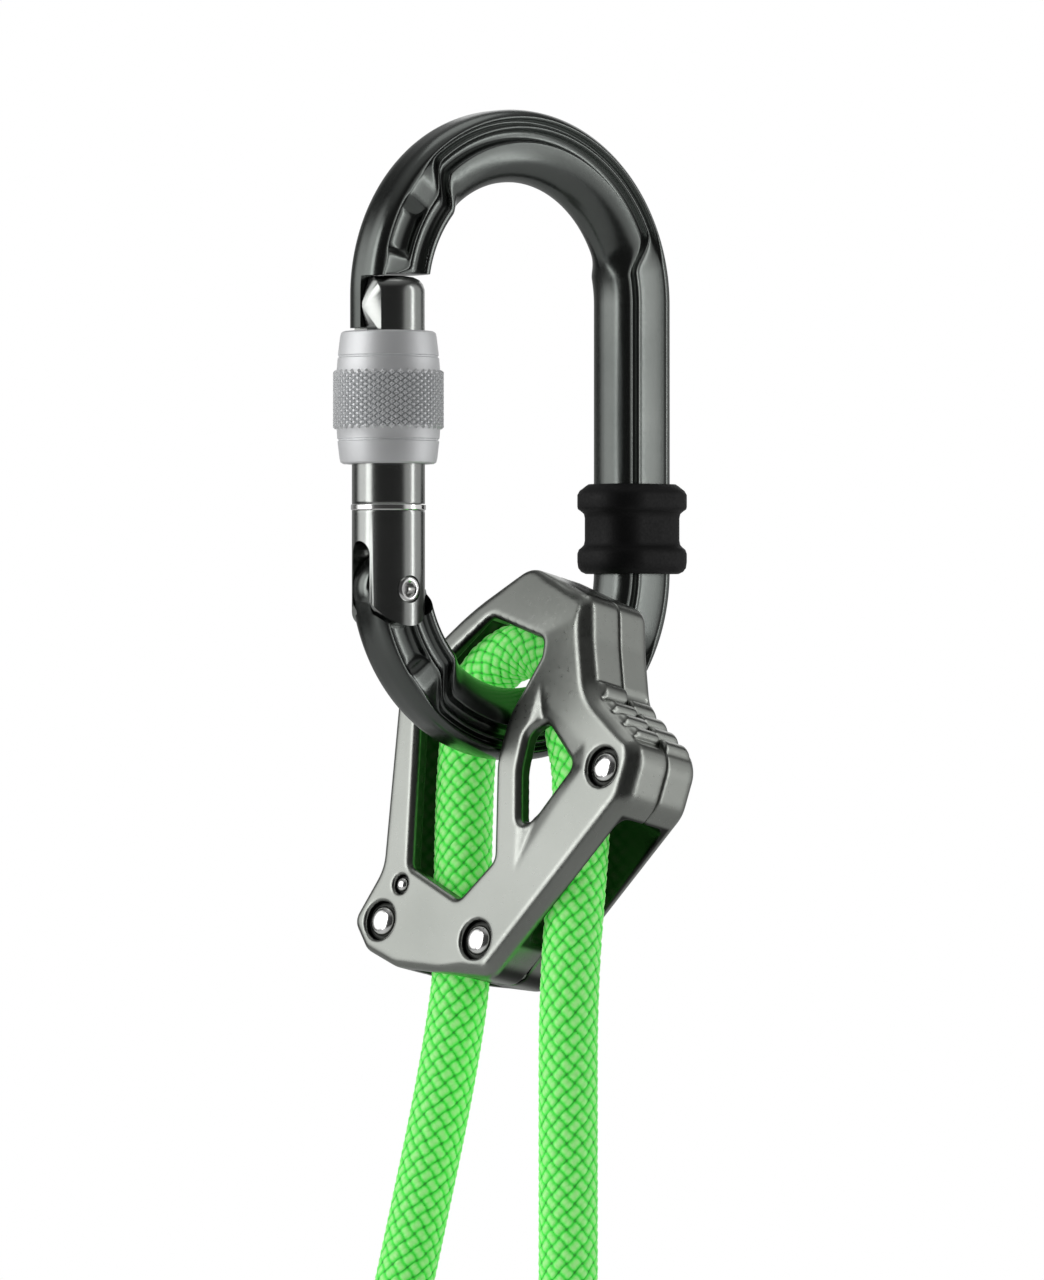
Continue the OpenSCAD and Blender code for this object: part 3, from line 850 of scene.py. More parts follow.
@dataclass
class RopeRoute:
    """The rope's one centreline, from the brake strand's tip, over the bar, to the tail of the sewn eye."""

    seat: Seat = field(default_factory=Seat)
    radius: float = 4.9
    bight_radius: float = 11.4
    bight_lift: float = 1.0
    step: float = 0.25
    brake_tip: float = 26.0
    brake_hang: tuple[Point, ...] = (
        (-4.2, -20.3, -188.0), (-4.2, -20.3, -180.0), (-4.2, -20.3, -166.0), (-4.2, -20.3, -152.0),
        (-4.1, -20.2, -141.0), (-3.5, -19.8, -133.0), (-2.4, -19.0, -126.0),
    )
    brake_channel: tuple[Point, ...] = ((17.2, -27.0), (16.4, -18.0), (14.8, -8.5), (12.3, -2.5))
    load_channel: tuple[Point, ...] = ((-11.0, -8.0), (-9.6, -18.0), (-8.1, -27.0), (-6.4, -36.0))
    load_hang: tuple[Point, ...] = (
        (-8.0, 3.7, -133.2), (-10.0, 3.4, -143.0), (-12.6, 3.6, -155.0), (-15.6, 4.3, -168.5),
        (-18.8, 5.0, -182.5),
    )
    eye_x: float = -8.9
    eye_neck: tuple[tuple[str, float], ...] = (("", -98.5), ("", -103.0), ("load_end", -108.0), ("", -112.0))
    eye_shoulder: tuple[Point, ...] = ((0.3, -117.0), (2.2, -121.6), (5.0, -125.0))
    eye_tail: tuple[float, ...] = (-112.0, -106.0, -100.5)
    eye_centre: Point = (-13.8, -133.4)
    eye_radius: float = 13.3
    points: np.ndarray = field(init=False)
    along: np.ndarray = field(init=False)
    marks: dict[str, float] = field(init=False)

    def __post_init__(self) -> None:
        """Joins the stretches, smooths them and notes where each one starts."""
        knots: list[tuple[str, np.ndarray]] = []
        end = np.array(self.brake_hang[0])
        knots.append(("tip", end - np.array([0, 0, self.brake_tip])))
        knots.append(("", end - np.array([0, 0, self.brake_tip / 2])))
        knots += [("brake_end" if i == 0 else "", np.array(p)) for i, p in enumerate(self.brake_hang)]
        knots[-1] = ("brake_exit", knots[-1][1])
        knots += [("", self._plane(p)) for p in self.brake_channel]
        for turn in range(0, 181, 20):
            t = math.radians(turn)
            at = (self.bight_radius * math.cos(t), self.bight_lift + self.bight_radius * math.sin(t))
            knots.append(("", self._plane(at)))
        knots += [("", self._plane(p)) for p in self.load_channel]
        knots += [("load_exit" if i == 0 else "", np.array(p)) for i, p in enumerate(self.load_hang)]
        knots += [(name, self._plane((self.eye_x, z))) for name, z in self.eye_neck]
        half = self.eye_x - self.eye_centre[0]
        shoulder = [(half + out, z) for out, z in self.eye_shoulder]
        turns = [(self.eye_radius * math.cos(t), self.eye_centre[1] + self.eye_radius * math.sin(t))
                 for t in np.radians(np.arange(22, -203, -16))]
        back = [(-x, z) for x, z in reversed(shoulder)] + [(-half, z) for z in self.eye_tail]
        for i, (x, z) in enumerate(shoulder + turns + back):
            knots.append(("eye" if i == 0 else "", self._plane((self.eye_centre[0] + x, z))))
        self._resample(knots)

    def _plane(self, at: Point) -> np.ndarray:
        """Takes a point of the plates' plane to the object's millimetres."""
        return self.seat.world(np.array([[at[0], 0.0, at[1]]]))[0] / MM

    def _resample(self, knots: list[tuple[str, np.ndarray]]) -> None:
        """Runs an even curve through the knots.

        Args:
            knots: Names and points in mm.
        """
        at = np.array([k[1] for k in knots])
        pad = np.vstack([2 * at[0] - at[1], at, 2 * at[-1] - at[-2]])
        fine, starts = [], []
        for i in range(len(at) - 1):
            starts.append(len(fine))
            a, b, c, d = pad[i : i + 4]
            for t in np.linspace(0, 1, 24, endpoint=False):
                square, cube = 2 * a - 5 * b + 4 * c - d, 3 * b - a - 3 * c + d
                fine.append(0.5 * (2 * b + (c - a) * t + square * t**2 + cube * t**3))
        starts.append(len(fine))
        fine.append(at[-1])
        curve = np.array(fine)
        for _ in range(60):
            curve[1:-1] = 0.5 * curve[1:-1] + 0.25 * (curve[:-2] + curve[2:])
        run = np.concatenate([[0], np.cumsum(np.linalg.norm(np.diff(curve, axis=0), axis=1))])
        count = int(round(run[-1] / self.step))
        self.along = np.linspace(0, run[-1], count + 1)
        self.points = np.stack([np.interp(self.along, run, curve[:, k]) for k in range(3)], axis=1)
        even = self.along[1]
        named = ((name, start) for (name, _), start in zip(knots, starts) if name)
        self.marks = {name: round(run[start] / even) * even for name, start in named}
        self.marks["tail"] = run[-1]

    def frames(self) -> tuple[np.ndarray, np.ndarray]:
        """Carries a pair of side directions along the curve without twist.

        Returns:
            Two arrays of unit vectors.
        """
        way = np.gradient(self.points, axis=0)
        way /= np.linalg.norm(way, axis=1)[:, None]
        side = np.cross(way[0], [0.3, 1.0, 0.1])
        sides = []
        for t in way:
            side = side - t * (side @ t)
            side = side / np.linalg.norm(side)
            sides.append(side)
        first = np.array(sides)
        return first, np.cross(way, first)

    def stretch(self, start: float, stop: float) -> np.ndarray:
        """Returns the points in metres between two lengths along the rope."""
        keep = (self.along >= start - 1e-6) & (self.along <= stop + 1e-6)
        return self.points[keep] * MM


@dataclass
class Sheath:
    """Braided sheath: pairs of yarns that cross at 45 degrees, over one and under one."""

    route: RopeRoute
    cells: int = 11
    pitch: float = 2.8
    relief: float = 0.42
    sides: int = 132

    def relief_at(self, turn: np.ndarray, along: np.ndarray) -> tuple[np.ndarray, np.ndarray]:
        """Works out the weave at points of the sheath.

        Args:
            turn: Angles round the rope in radians.
            along: Lengths along the rope in mm.

        Returns:
            Height from 0 to 1, and whether the yarn on top slants to the left.
        """
        around, down = turn * self.cells / math.tau, along / self.pitch
        p, q = around + down, around - down
        even = (np.floor(p) + np.floor(q)) % 2 < 0.5
        across = np.where(even, p, q)
        length = np.where(even, q, p)
        u = length - np.floor(length) - 0.5
        w = across - np.floor(across) - 0.5
        yarn = np.sqrt(np.clip(1 - ((np.abs(w) - 0.24) / 0.27) ** 2, 0, 1))
        edge = np.sqrt(np.clip(1 - (2 * w) ** 4, 0, 1))
        crest = np.cos(math.pi * u * 0.97)
        height = (0.18 + 0.82 * crest) * (0.25 + 0.45 * edge + 0.3 * yarn)
        return np.clip(height, 0, 1), even

    def tube(self, name: str, start: float, stop: float) -> bpy.types.Object:
        """Makes one closed stretch of rope.

        Args:
            name: The object's name.
            start: Length along the rope where it starts, in mm.
            stop: Length where it ends.

        Returns:
            The object, with its weave's height and yarn coordinates stored on it.
        """
        route = self.route
        keep = np.where((route.along >= start - 1e-6) & (route.along <= stop + 1e-6))[0]
        first, second = (f[keep] for f in route.frames())
        centre, along = route.points[keep], route.along[keep]
        turn = np.arange(self.sides) * math.tau / self.sides
        grid_turn, grid_along = np.meshgrid(turn, along)
        height, _ = self.relief_at(grid_turn, grid_along)
        radius = route.radius - self.relief * (1 - height)
        ring = (
            first[:, None, :] * np.cos(turn)[None, :, None] + second[:, None, :] * np.sin(turn)[None, :, None]
        )
        verts = centre[:, None, :] + ring * radius[:, :, None]
        rows, sides = len(keep), self.sides
        verts = np.vstack([verts.reshape(-1, 3), centre[:1], centre[-1:]])
        index = np.arange(rows * sides).reshape(rows, sides)
        nxt = np.roll(index, -1, axis=1)
        quads = np.stack([index[:-1], nxt[:-1], nxt[1:], index[1:]], axis=-1).reshape(-1, 4)
        caps = [(int(nxt[0, k]), int(index[0, k]), rows * sides) for k in range(sides)]
        caps += [(int(index[-1, k]), int(nxt[-1, k]), rows * sides + 1) for k in range(sides)]
        piece = mesh_object(name, verts * MM, [tuple(int(i) for i in q) for q in quads] + caps)
        self._crisp_ends(piece, rows)
        # weave height that the sheath's material turns into painted shade in the pits and a painted highlight on
        # the crowns
        lift = np.concatenate([height.reshape(-1), [0.3, 0.3]]).astype(np.float32)
        piece.data.attributes.new("lift", "FLOAT", "POINT").data.foreach_set("value", lift)
        self._yarn_map(piece, quads.shape[0], along, rows)
        return piece

    def _crisp_ends(self, piece: bpy.types.Object, rows: int) -> None:
        """Marks the end rings sharp, so that two stretches meet with no shaded seam.

        Args:
            piece: The rope.
            rows: Number of rings.
        """
        mesh = piece.data
        ends = np.zeros(2 * len(mesh.edges), np.int64)
        mesh.edges.foreach_get("vertices", ends)
        ring = ends.reshape(-1, 2) // self.sides
        sharp = (ring[:, 0] == ring[:, 1]) & ((ring[:, 0] == 0) | (ring[:, 0] == rows - 1))
        mesh.attributes.new("sharp_edge", "BOOLEAN", "EDGE").data.foreach_set("value", sharp)

    def _yarn_map(self, piece: bpy.types.Object, quads: int, along: np.ndarray, rows: int) -> None:
        """Stores a map that runs along and across the yarn on top of each face.

        Args:
            piece: The rope.
            quads: Number of side faces.
            along: Length of each ring along the rope.
            rows: Number of rings.
        """
        layer = piece.data.uv_layers.new(name="yarn")
        mesh = piece.data
        loops = np.zeros(len(mesh.loops), np.int64)
        mesh.loops.foreach_get("vertex_index", loops)
        starts = np.zeros(len(mesh.polygons), np.int64)
        mesh.polygons.foreach_get("loop_start", starts)
        values = np.zeros((len(loops), 2), np.float32)
        corner = loops[starts[:quads][:, None] + np.arange(4)[None, :]]
        column, row = corner % self.sides, corner // self.sides
        wrap = (column.max(axis=1) - column.min(axis=1)) > self.sides // 2
        column = np.where(wrap[:, None] & (column == 0), self.sides, column)
        turn = column * math.tau / self.sides
        down = along[np.clip(row, 0, rows - 1)]
        _, even = self.relief_at(turn.mean(axis=1), down.mean(axis=1))
        around, cells = turn * self.cells / math.tau, down / self.pitch
        p, q = around + cells, around - cells
        flag = even[:, None]
        values_at = np.stack([np.where(flag, q, p), np.where(flag, p, q)], axis=-1)
        values[starts[:quads][:, None] + np.arange(4)[None, :]] = values_at
        layer.data.foreach_set("uv", values.reshape(-1))


@dataclass
class Rope:
    """The rope inside the device, its two free strands and what they end in."""

    route: RopeRoute = field(default_factory=RopeRoute)
    sleeve_wall: float = 0.8
    load_sleeve: tuple[float, float] = (-99.0, -125.0)
    brake_sleeve: tuple[float, float] = (-186.0, -214.0)
    thimble: tuple[float, float, float] = (7.0, 1.4, 2.4)
    bands: int = 3
    turns: int = 5
    thread: float = 0.27
    thread_step: float = 0.52

    def build(self, paint: dict[str, bpy.types.Material]) -> None:
        """Makes the cords first, then the pieces on them.

        Args:
            paint: Materials by finish.
        """
        sheath = Sheath(self.route)
        marks = self.route.marks
        brake = sheath.tube("brake_rope", marks["brake_end"], marks["brake_exit"])
        load = sheath.tube("load_rope", marks["load_exit"], marks["load_end"])
        inner = sheath.tube("bight_rope", marks["brake_exit"], marks["load_exit"])
        tip = sheath.tube("brake_tip_rope", marks["tip"], marks["brake_end"])
        legs = sheath.tube("eye_rope", marks["load_end"], marks["tail"])
        rope_pieces = {
            brake: ("brake_strand",), load: ("load_strand",), inner: ("rope_bight", "load_leg", "brake_leg"),
            tip: ("brake_tip",), legs: ("load_eye", "load_tail"),
        }
        for piece, nodes in rope_pieces.items():
            self._join(dress(piece, paint["sheath"]), nodes)
        ends = self.load_fittings(paint)
        brakes = self.brake_fittings(paint)
        self._declare(marks["load_exit"], marks["load_end"], False)
        self._declare(marks["brake_end"], marks["brake_exit"], True)

    def _declare(
        self, start: float, stop: float, turned: bool,
    ) -> None:
        """Works out a free strand's path and length, and keeps neither.

        Args:
            start: Length along the rope where it starts.
            stop: Length where it ends.
            turned: True where it leaves the device at its stop.
        """
        path = self.route.stretch(start, stop)
        if turned:
            path = path[::-1]
        path = np.vstack([path[::8], path[-1:]])
        length = float(np.linalg.norm(np.diff(path, axis=0), axis=1).sum())
        tuple(path[0])
        [tuple(p) for p in path]

    def _join(self, piece: bpy.types.Object, nodes: tuple[str, ...]) -> bpy.types.Object:
        """Sets a piece on the device in place of its CAD nodes.

        Args:
            piece: The piece.
            nodes: The CAD nodes that it replaces.

        Returns:
            The same piece.
        """
        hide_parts(*nodes)
        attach(piece, "device")
        LOG.info("rope: %s", piece.name)
        return piece

    def _oval_tube(self, name: str, rings: list[tuple[float, float, float]], seat: Seat) -> bpy.types.Object:
        """Lofts a stadium section down the load strand's end.

        Args:
            name: The object's name.
            rings: Height, half length of the straight sides and radius of each ring, in mm.
            seat: The device's frame.

        Returns:
            The object.
        """
        sides = 64
        verts = []
        for z, half, radius in rings:
            for k in range(sides):
                turn = math.tau * (k + 0.5) / sides
                x, y = radius * math.cos(turn), radius * math.sin(turn)
                verts.append((self.route.eye_centre[0] + x + math.copysign(half, x), y, z))
        faces = []
        for row in range(len(rings)):
            a, b = row * sides, ((row + 1) % len(rings)) * sides
            faces += [(a + k, a + (k + 1) % sides, b + (k + 1) % sides, b + k) for k in range(sides)]
        return mesh_object(name, seat.world(np.array(verts)), faces, sharp=35)

    def load_fittings(self, paint: dict[str, bpy.types.Material]) -> list[bpy.types.Object]:
        """Makes the sleeve, thread bands and thimble of the sewn eye.

        Args:
            paint: Materials by finish.

        Returns:
            The pieces.
        """
        seat, r, wall = self.route.seat, self.route.radius, self.sleeve_wall
        top, low = self.load_sleeve
        outer, inner = r + wall, r - 0.2
        rings = [(top - 0.3, r, inner), (top, r, outer - 0.35), (top - 0.5, r, outer - 0.05)]
        rings += [(top + (low - top) * k / 14, r + 3.0 * float(soft_step(k, 7, 14)),
                   outer + 0.1 * math.sin(k * 1.9)) for k in range(1, 14)]
        rings += [(low + 0.4, r + 3.1, outer), (low, r + 3.1, outer - 0.3), (low + 0.3, r + 3.1, inner)]
        rings += [(low + 8, r + 0.8, inner), (top - 4, r, inner)]
        sleeve = self._join(dress(self._oval_tube("load_end_sleeve", rings, seat), paint["shrink"]),
                            ("load_sleeve",))
        heights = self._thread_heights(top, low)
        flare = [r + 3.0 * float(soft_step((z - top) / (low - top) * 14, 7, 14)) for z in heights]
        place = seat.matrix() @ Matrix.Translation((self.route.eye_centre[0], 0, 0))
        thread = self._wraps("load_end_thread", heights, flare, outer + 0.12, place)
        self._join(dress(thread, paint["thread"]), ("load_stitching",))
        bore, skin, lip = self.thimble
        floor, rim = bore + skin, bore + skin + lip
        profile = [(bore, -r + 0.5), (bore + 0.35, -r), (rim - 0.3, -r), (rim, -r + 0.35)]
        profile += [(floor + r - (r - 0.05) * math.cos(t), -(r - 0.05) * math.sin(t))
                    for t in np.radians(np.arange(64, -65, -8))]
        profile += [(rim, r - 0.35), (rim - 0.3, r), (bore + 0.35, r), (bore, r - 0.5)]
        centre = Vector((self.route.eye_centre[0], 0, self.route.eye_centre[1]))
        place = seat.matrix() @ Matrix.Translation(centre) @ Matrix.Rotation(math.pi / 2, 4, "X")
        thimble = lathe("eye_thimble", profile, place, 96, 35)
        self._join(dress(thimble, paint["thimble"]), ("load_thimble",))
        return [sleeve, thread, thimble]

    def _thread_heights(self, top: float, low: float) -> list[float]:
        """Returns the height of each turn of thread in a sleeve's bands, in mm."""
        bands = [top + (low - top) * (k + 1) / (self.bands + 1) for k in range(self.bands)]
        return [z + 1.1 - turn * self.thread_step for z in bands for turn in range(self.turns)]

    def _wraps(
        self, name: str, heights: list[float], halves: list[float], radius: float, place: Matrix
    ) -> bpy.types.Object:
        """Makes turns of thread round a sleeve.

        Args:
            name: The object's name.
            heights: Height of each turn.
            halves: Half length of the sleeve's straight sides at each turn.
            radius: Radius of the round sides that the thread lies on.
            place: The sleeve's frame, from mm to metres.

        Returns:
            The object.
        """
        steps, sides, up = 72, 8, Vector((0, 0, 1))
        verts, faces = [], []
        for z, half in zip(heights, halves):
            base = len(verts)
            for k in range(steps):
                turn = math.tau * (k + 0.5) / steps
                way = Vector((math.cos(turn), math.sin(turn), 0))
                at = way * radius + Vector((math.copysign(half, way.x), 0, z))
                for j in range(sides):
                    a = math.tau * j / sides
                    verts.append(place @ (at + (way * math.cos(a) + up * math.sin(a)) * self.thread))
            for k in range(steps):
                a, b = base + k * sides, base + (k + 1) % steps * sides
                faces += [(a + j, b + j, b + (j + 1) % sides, a + (j + 1) % sides) for j in range(sides)]
        return mesh_object(name, verts, faces)

    def brake_fittings(self, paint: dict[str, bpy.types.Material]) -> list[bpy.types.Object]:
        """Makes the sleeve and thread bands on the brake strand's end.

        Args:
            paint: Materials by finish.

        Returns:
            The pieces.
        """
        r, wall = self.route.radius, self.sleeve_wall
        x, y, _ = self.route.brake_hang[0]
        top, low = self.brake_sleeve
        outer = r + wall
        profile = [(r - 0.2, top - 0.4), (outer - 0.35, top), (outer - 0.05, top - 0.5)]
        profile += [(outer + 0.08 * math.sin(k * 1.7), top + (low - top) * k / 16) for k in range(1, 16)]
        profile += [(outer - 0.05, low + 0.5), (outer - 0.35, low), (r - 0.2, low + 0.4)]
        place = axis_at((x, y, 0.0), (0, 0, 1))
        sleeve = lathe("brake_end_sleeve", profile, place, 72, 35)
        self._join(dress(sleeve, paint["shrink"]), ("brake_sleeve",))
        heights = self._thread_heights(top, low)
        thread = self._wraps("brake_end_thread", heights, [0.0] * len(heights), outer + 0.12, place)
        self._join(dress(thread, paint["thread"]), ("brake_stitching",))
        return [sleeve, thread]


# ---------------------------------------------------------------- carabiner


@dataclass(frozen=True)
class Relief:
    """Forged relief of the bar's flanks at one place, in mm from the bar's middle line."""

    crest: float
    ridge: float
    rim: float
    web: float
    panel: float

    def blend(self, other: "Relief", share: float) -> "Relief":
        """Returns the relief part way to another."""
        pairs = zip(vars(self).values(), vars(other).values())
        return Relief(*(a + (b - a) * share for a, b in pairs))

    def half_profile(self, inner: float, outer: float, half: float) -> np.ndarray:
        """Draws one flank from the inner line to the outer line.

        Args:
            inner: Radial place of the inner line.
            outer: Radial place of the outer line.
            half: Half of the bar's thickness.

        Returns:
            Rows of radial place and thickness in mm.
        """
        end = self.crest - 0.5
        quarter = np.linspace(0, math.pi / 2, 12)
        low = [(end - (end - inner) * math.cos(t), half * math.sin(t)) for t in quarter]
        low[-1] = (end, half)
        crest = half - 0.65
        points = low + [
            (self.crest, half), (self.crest + 0.4, self.web), (self.ridge - 0.5, self.web),
            (self.ridge - 0.1, crest), (self.ridge + 0.4, crest), (self.ridge + 0.8, self.panel),
            (self.rim - 0.45, self.panel), (self.rim, crest + 0.1),
            (outer - 1.0, 3.9), (outer - 0.3, 3.0), (outer, 1.7), (outer, 0.0),
        ]
        line = np.array(points)
        for _ in range(2):
            a, b = line[:-1], line[1:]
            eased = np.stack([a * 0.75 + b * 0.25, a * 0.25 + b * 0.75], axis=1).reshape(-1, 2)
            line = np.vstack([line[:1], eased, line[-1:]])
        return line


class Flank(Enum):
    """The reliefs that follow each other round the oval."""

    NOSE = Relief(-3.4, 3.3, 4.85, 4.15, 4.0)
    GATE_SIDE = Relief(-3.4, -0.6, 4.4, 3.3, 4.0)
    POCKET = Relief(-3.4, -0.6, 4.3, 3.3, 2.3)
    BOW = Relief(0.8, 3.1, 4.75, 3.0, 3.1)
    SPINE = Relief(-3.2, -1.6, 4.4, 3.3, 3.95)


@dataclass
class Carabiner:
    """Oval forged body with its nose, hinge foot and rubber keeper."""

    bow_radius: float = 25.3
    inner: float = -5.7
    outer: float = 6.3
    half: float = 4.7
    top_z: float = -19.6
    low_z: float = -64.4
    nose_end_z: float = -24.9
    notch_face: float = -29.15
    notch_top_z: float = -16.05
    nose_web: float = -0.2
    hinge: Point = (-25.7, 0.0, -67.7)
    foot_radius: float = 5.86
    foot_half: float = 2.0
    ear_radius: float = 6.4
    keeper_low: float = -64.9
    keeper_height: float = 15.1
    keeper_x: float = 25.6
    keeper_core: Point = (6.0, 4.7, 3.2)
    keeper_wall: float = 1.9
    keeper_lip: float = 1.0

    def _stations(self) -> list[tuple[np.ndarray, np.ndarray, float]]:
        """Lists places along the bar's middle line.

        Returns:
            For each, the middle point, the outward direction and the length along the line, in mm.
        """
        r, places = self.bow_radius, []
        for z in np.linspace(self.nose_end_z, self.top_z, 8, endpoint=False):
            places.append((np.array([-r, 0, z]), np.array([-1.0, 0, 0]), z - self.top_z))
        arc = math.pi * r
        for t in np.linspace(180, 0, 161):
            way = np.array([math.cos(math.radians(t)), 0, math.sin(math.radians(t))])
            places.append((way * r + np.array([0, 0, self.top_z]), way, (180 - t) / 180 * arc))
        run = self.top_z - self.low_z
        for d in np.linspace(0, run, 70)[1:-1]:
            places.append((np.array([r, 0, self.top_z - d]), np.array([1.0, 0, 0]), arc + d))
        for t in np.linspace(0, -180, 161):
            way = np.array([math.cos(math.radians(t)), 0, math.sin(math.radians(t))])
            places.append((way * r + np.array([0, 0, self.low_z]), way, arc + run - t / 180 * arc))
        return places

    def _plan(self) -> list[tuple[float, Relief]]:
        """Plans the reliefs round the oval.

        Returns:
            Lengths along the bar in mm, with the relief at each.
        """
        arc, run = math.pi * self.bow_radius, self.top_z - self.low_z

        def top(t: float) -> float:
            """Length at an angle of the top bow."""
            return (180 - t) / 180 * arc

        def low(t: float) -> float:
            """Length at an angle of the bottom bow."""
            return arc + run - t / 180 * arc

        side, pocket, bow, spine, nose = (
            f.value for f in (Flank.GATE_SIDE, Flank.POCKET, Flank.BOW, Flank.SPINE, Flank.NOSE)
        )
        return [
            (-9.0, nose), (top(175), nose), (top(169), side), (top(167), side), (top(163), pocket),
            (top(150), pocket), (top(145), side), (top(139), side), (top(128), bow), (top(25), bow),
            (top(12), spine), (low(-22), spine), (low(-34), bow), (low(-126), bow), (low(-138), side),
            (low(-143), side), (low(-147), pocket), (low(-161), pocket), (low(-165), side), (low(-190), side),
        ]

    def body(self) -> bpy.types.Object:
        """Sweeps the relief round the oval, then cuts the nose and the hinge foot.

        Returns:
            The body.
        """
        plan = self._plan()
        verts, rings = [], []
        for middle, way, length in self._stations():
            k = max(i for i in range(len(plan) - 1) if plan[i][0] <= length)
            (start, before), (stop, after) = plan[k], plan[k + 1]
            share = float(soft_step((length - start) / (stop - start), 0, 1))
            half_line = before.blend(after, share).half_profile(self.inner, self.outer, self.half)
            loop = np.vstack([half_line, (half_line * [1, -1])[-2:0:-1]])
            rings.append(range(len(verts), len(verts) + len(loop)))
            verts += [middle + way * rho + np.array([0, y, 0]) for rho, y in loop]
        faces = []
        for a, b in zip(rings, rings[1:]):
            count = len(a)
            faces += [(a[k], a[(k + 1) % count], b[(k + 1) % count], b[k]) for k in range(count)]
        faces += [tuple(rings[0]), tuple(rings[-1])]
        piece = mesh_object("oval_body", np.array(verts) * MM, faces)
        cut(piece, box_tool((self.notch_face, -10, self.nose_end_z - 1), (-12, 10, self.notch_top_z)))
        cut(piece, box_tool((-34, -9, self.nose_end_z - 0.5), (-12, self.nose_web, self.notch_top_z - 0.4)))
        x, _, z = self.hinge
        cut(piece, box_tool((x - 11, -9, z), (x + 11, 9, z + 11)))
        across, r, half = axis_at(self.hinge, (0, 1, 0)), self.foot_radius, self.foot_half
        for side in (-1, 1):
            low, high = sorted((side * half, side * 9))
            cut(piece, drum_tool(self.ear_radius, low, high, across, 72))
        foot = [(0, -half), (r - 0.3, -half), (r, -half + 0.3), (r, half - 0.3), (r - 0.3, half), (0, half)]
        cut(piece, lathe("cutter", foot, across, 72), "UNION")
        tidy_shading(piece, 48)
        return piece

    def keeper(self) -> bpy.types.Object:
        """Lofts the rubber keeper with its two flanges and hollow waist.

        Returns:
            The keeper.
        """
        lip, h, wall = self.keeper_lip, self.keeper_height, self.keeper_wall
        steps = [
            (0.05, wall - 0.9), (0.0, wall - 0.4), (0.35, wall + 0.35), (1.0, wall + 0.85), (2.0, wall + lip),
            (3.4, wall + lip), (4.1, wall + 0.75), (4.5, wall + 0.25), (4.9, wall - 0.1), (5.6, wall - 0.25),
            (9.4, wall - 0.25), (10.1, wall - 0.1), (10.5, wall + 0.35), (10.9, wall + lip - 0.1),
            (11.3, wall + lip), (13.3, wall + lip), (14.0, wall + 0.6), (h - 0.25, wall - 0.5),
            (h, wall - 0.9), (h, -0.1), (h / 2, -0.1), (0.0, -0.1),
        ]
        sides = 80
        verts, rings = [], []
        for z, grow in steps:
            half_x, half_y, corner = (size + grow for size in self.keeper_core)
            rings.append(range(len(verts), len(verts) + sides))
            for k in range(sides):
                t = math.tau * (k + 0.5) / sides
                x, y = corner * math.cos(t), corner * math.sin(t)
                x += self.keeper_x + math.copysign(half_x - corner, x)
                y += math.copysign(half_y - corner, y)
                verts.append((x, y, self.keeper_low + z))
        faces = []
        for a, b in zip(rings, rings[1:] + rings[:1]):
            faces += [(a[k], a[(k + 1) % sides], b[(k + 1) % sides], b[k]) for k in range(sides)]
        return mesh_object("rubber_band", np.array(verts) * MM, faces, sharp=60)

    def build(self, paint: dict[str, bpy.types.Material]) -> None:
        """Makes the body and the keeper.

        Args:
            paint: Materials by finish.
        """
        for piece, node, finish, slot in (
            (self.body(), "carabiner_body", "body", "anodised_body"),
            (self.keeper(), "rubber_keeper", "rubber", "rubber"),
        ):
            dress(piece, paint[finish])
            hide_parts(node)
            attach(piece, "root")
            LOG.info("carabiner: %s", piece.name)


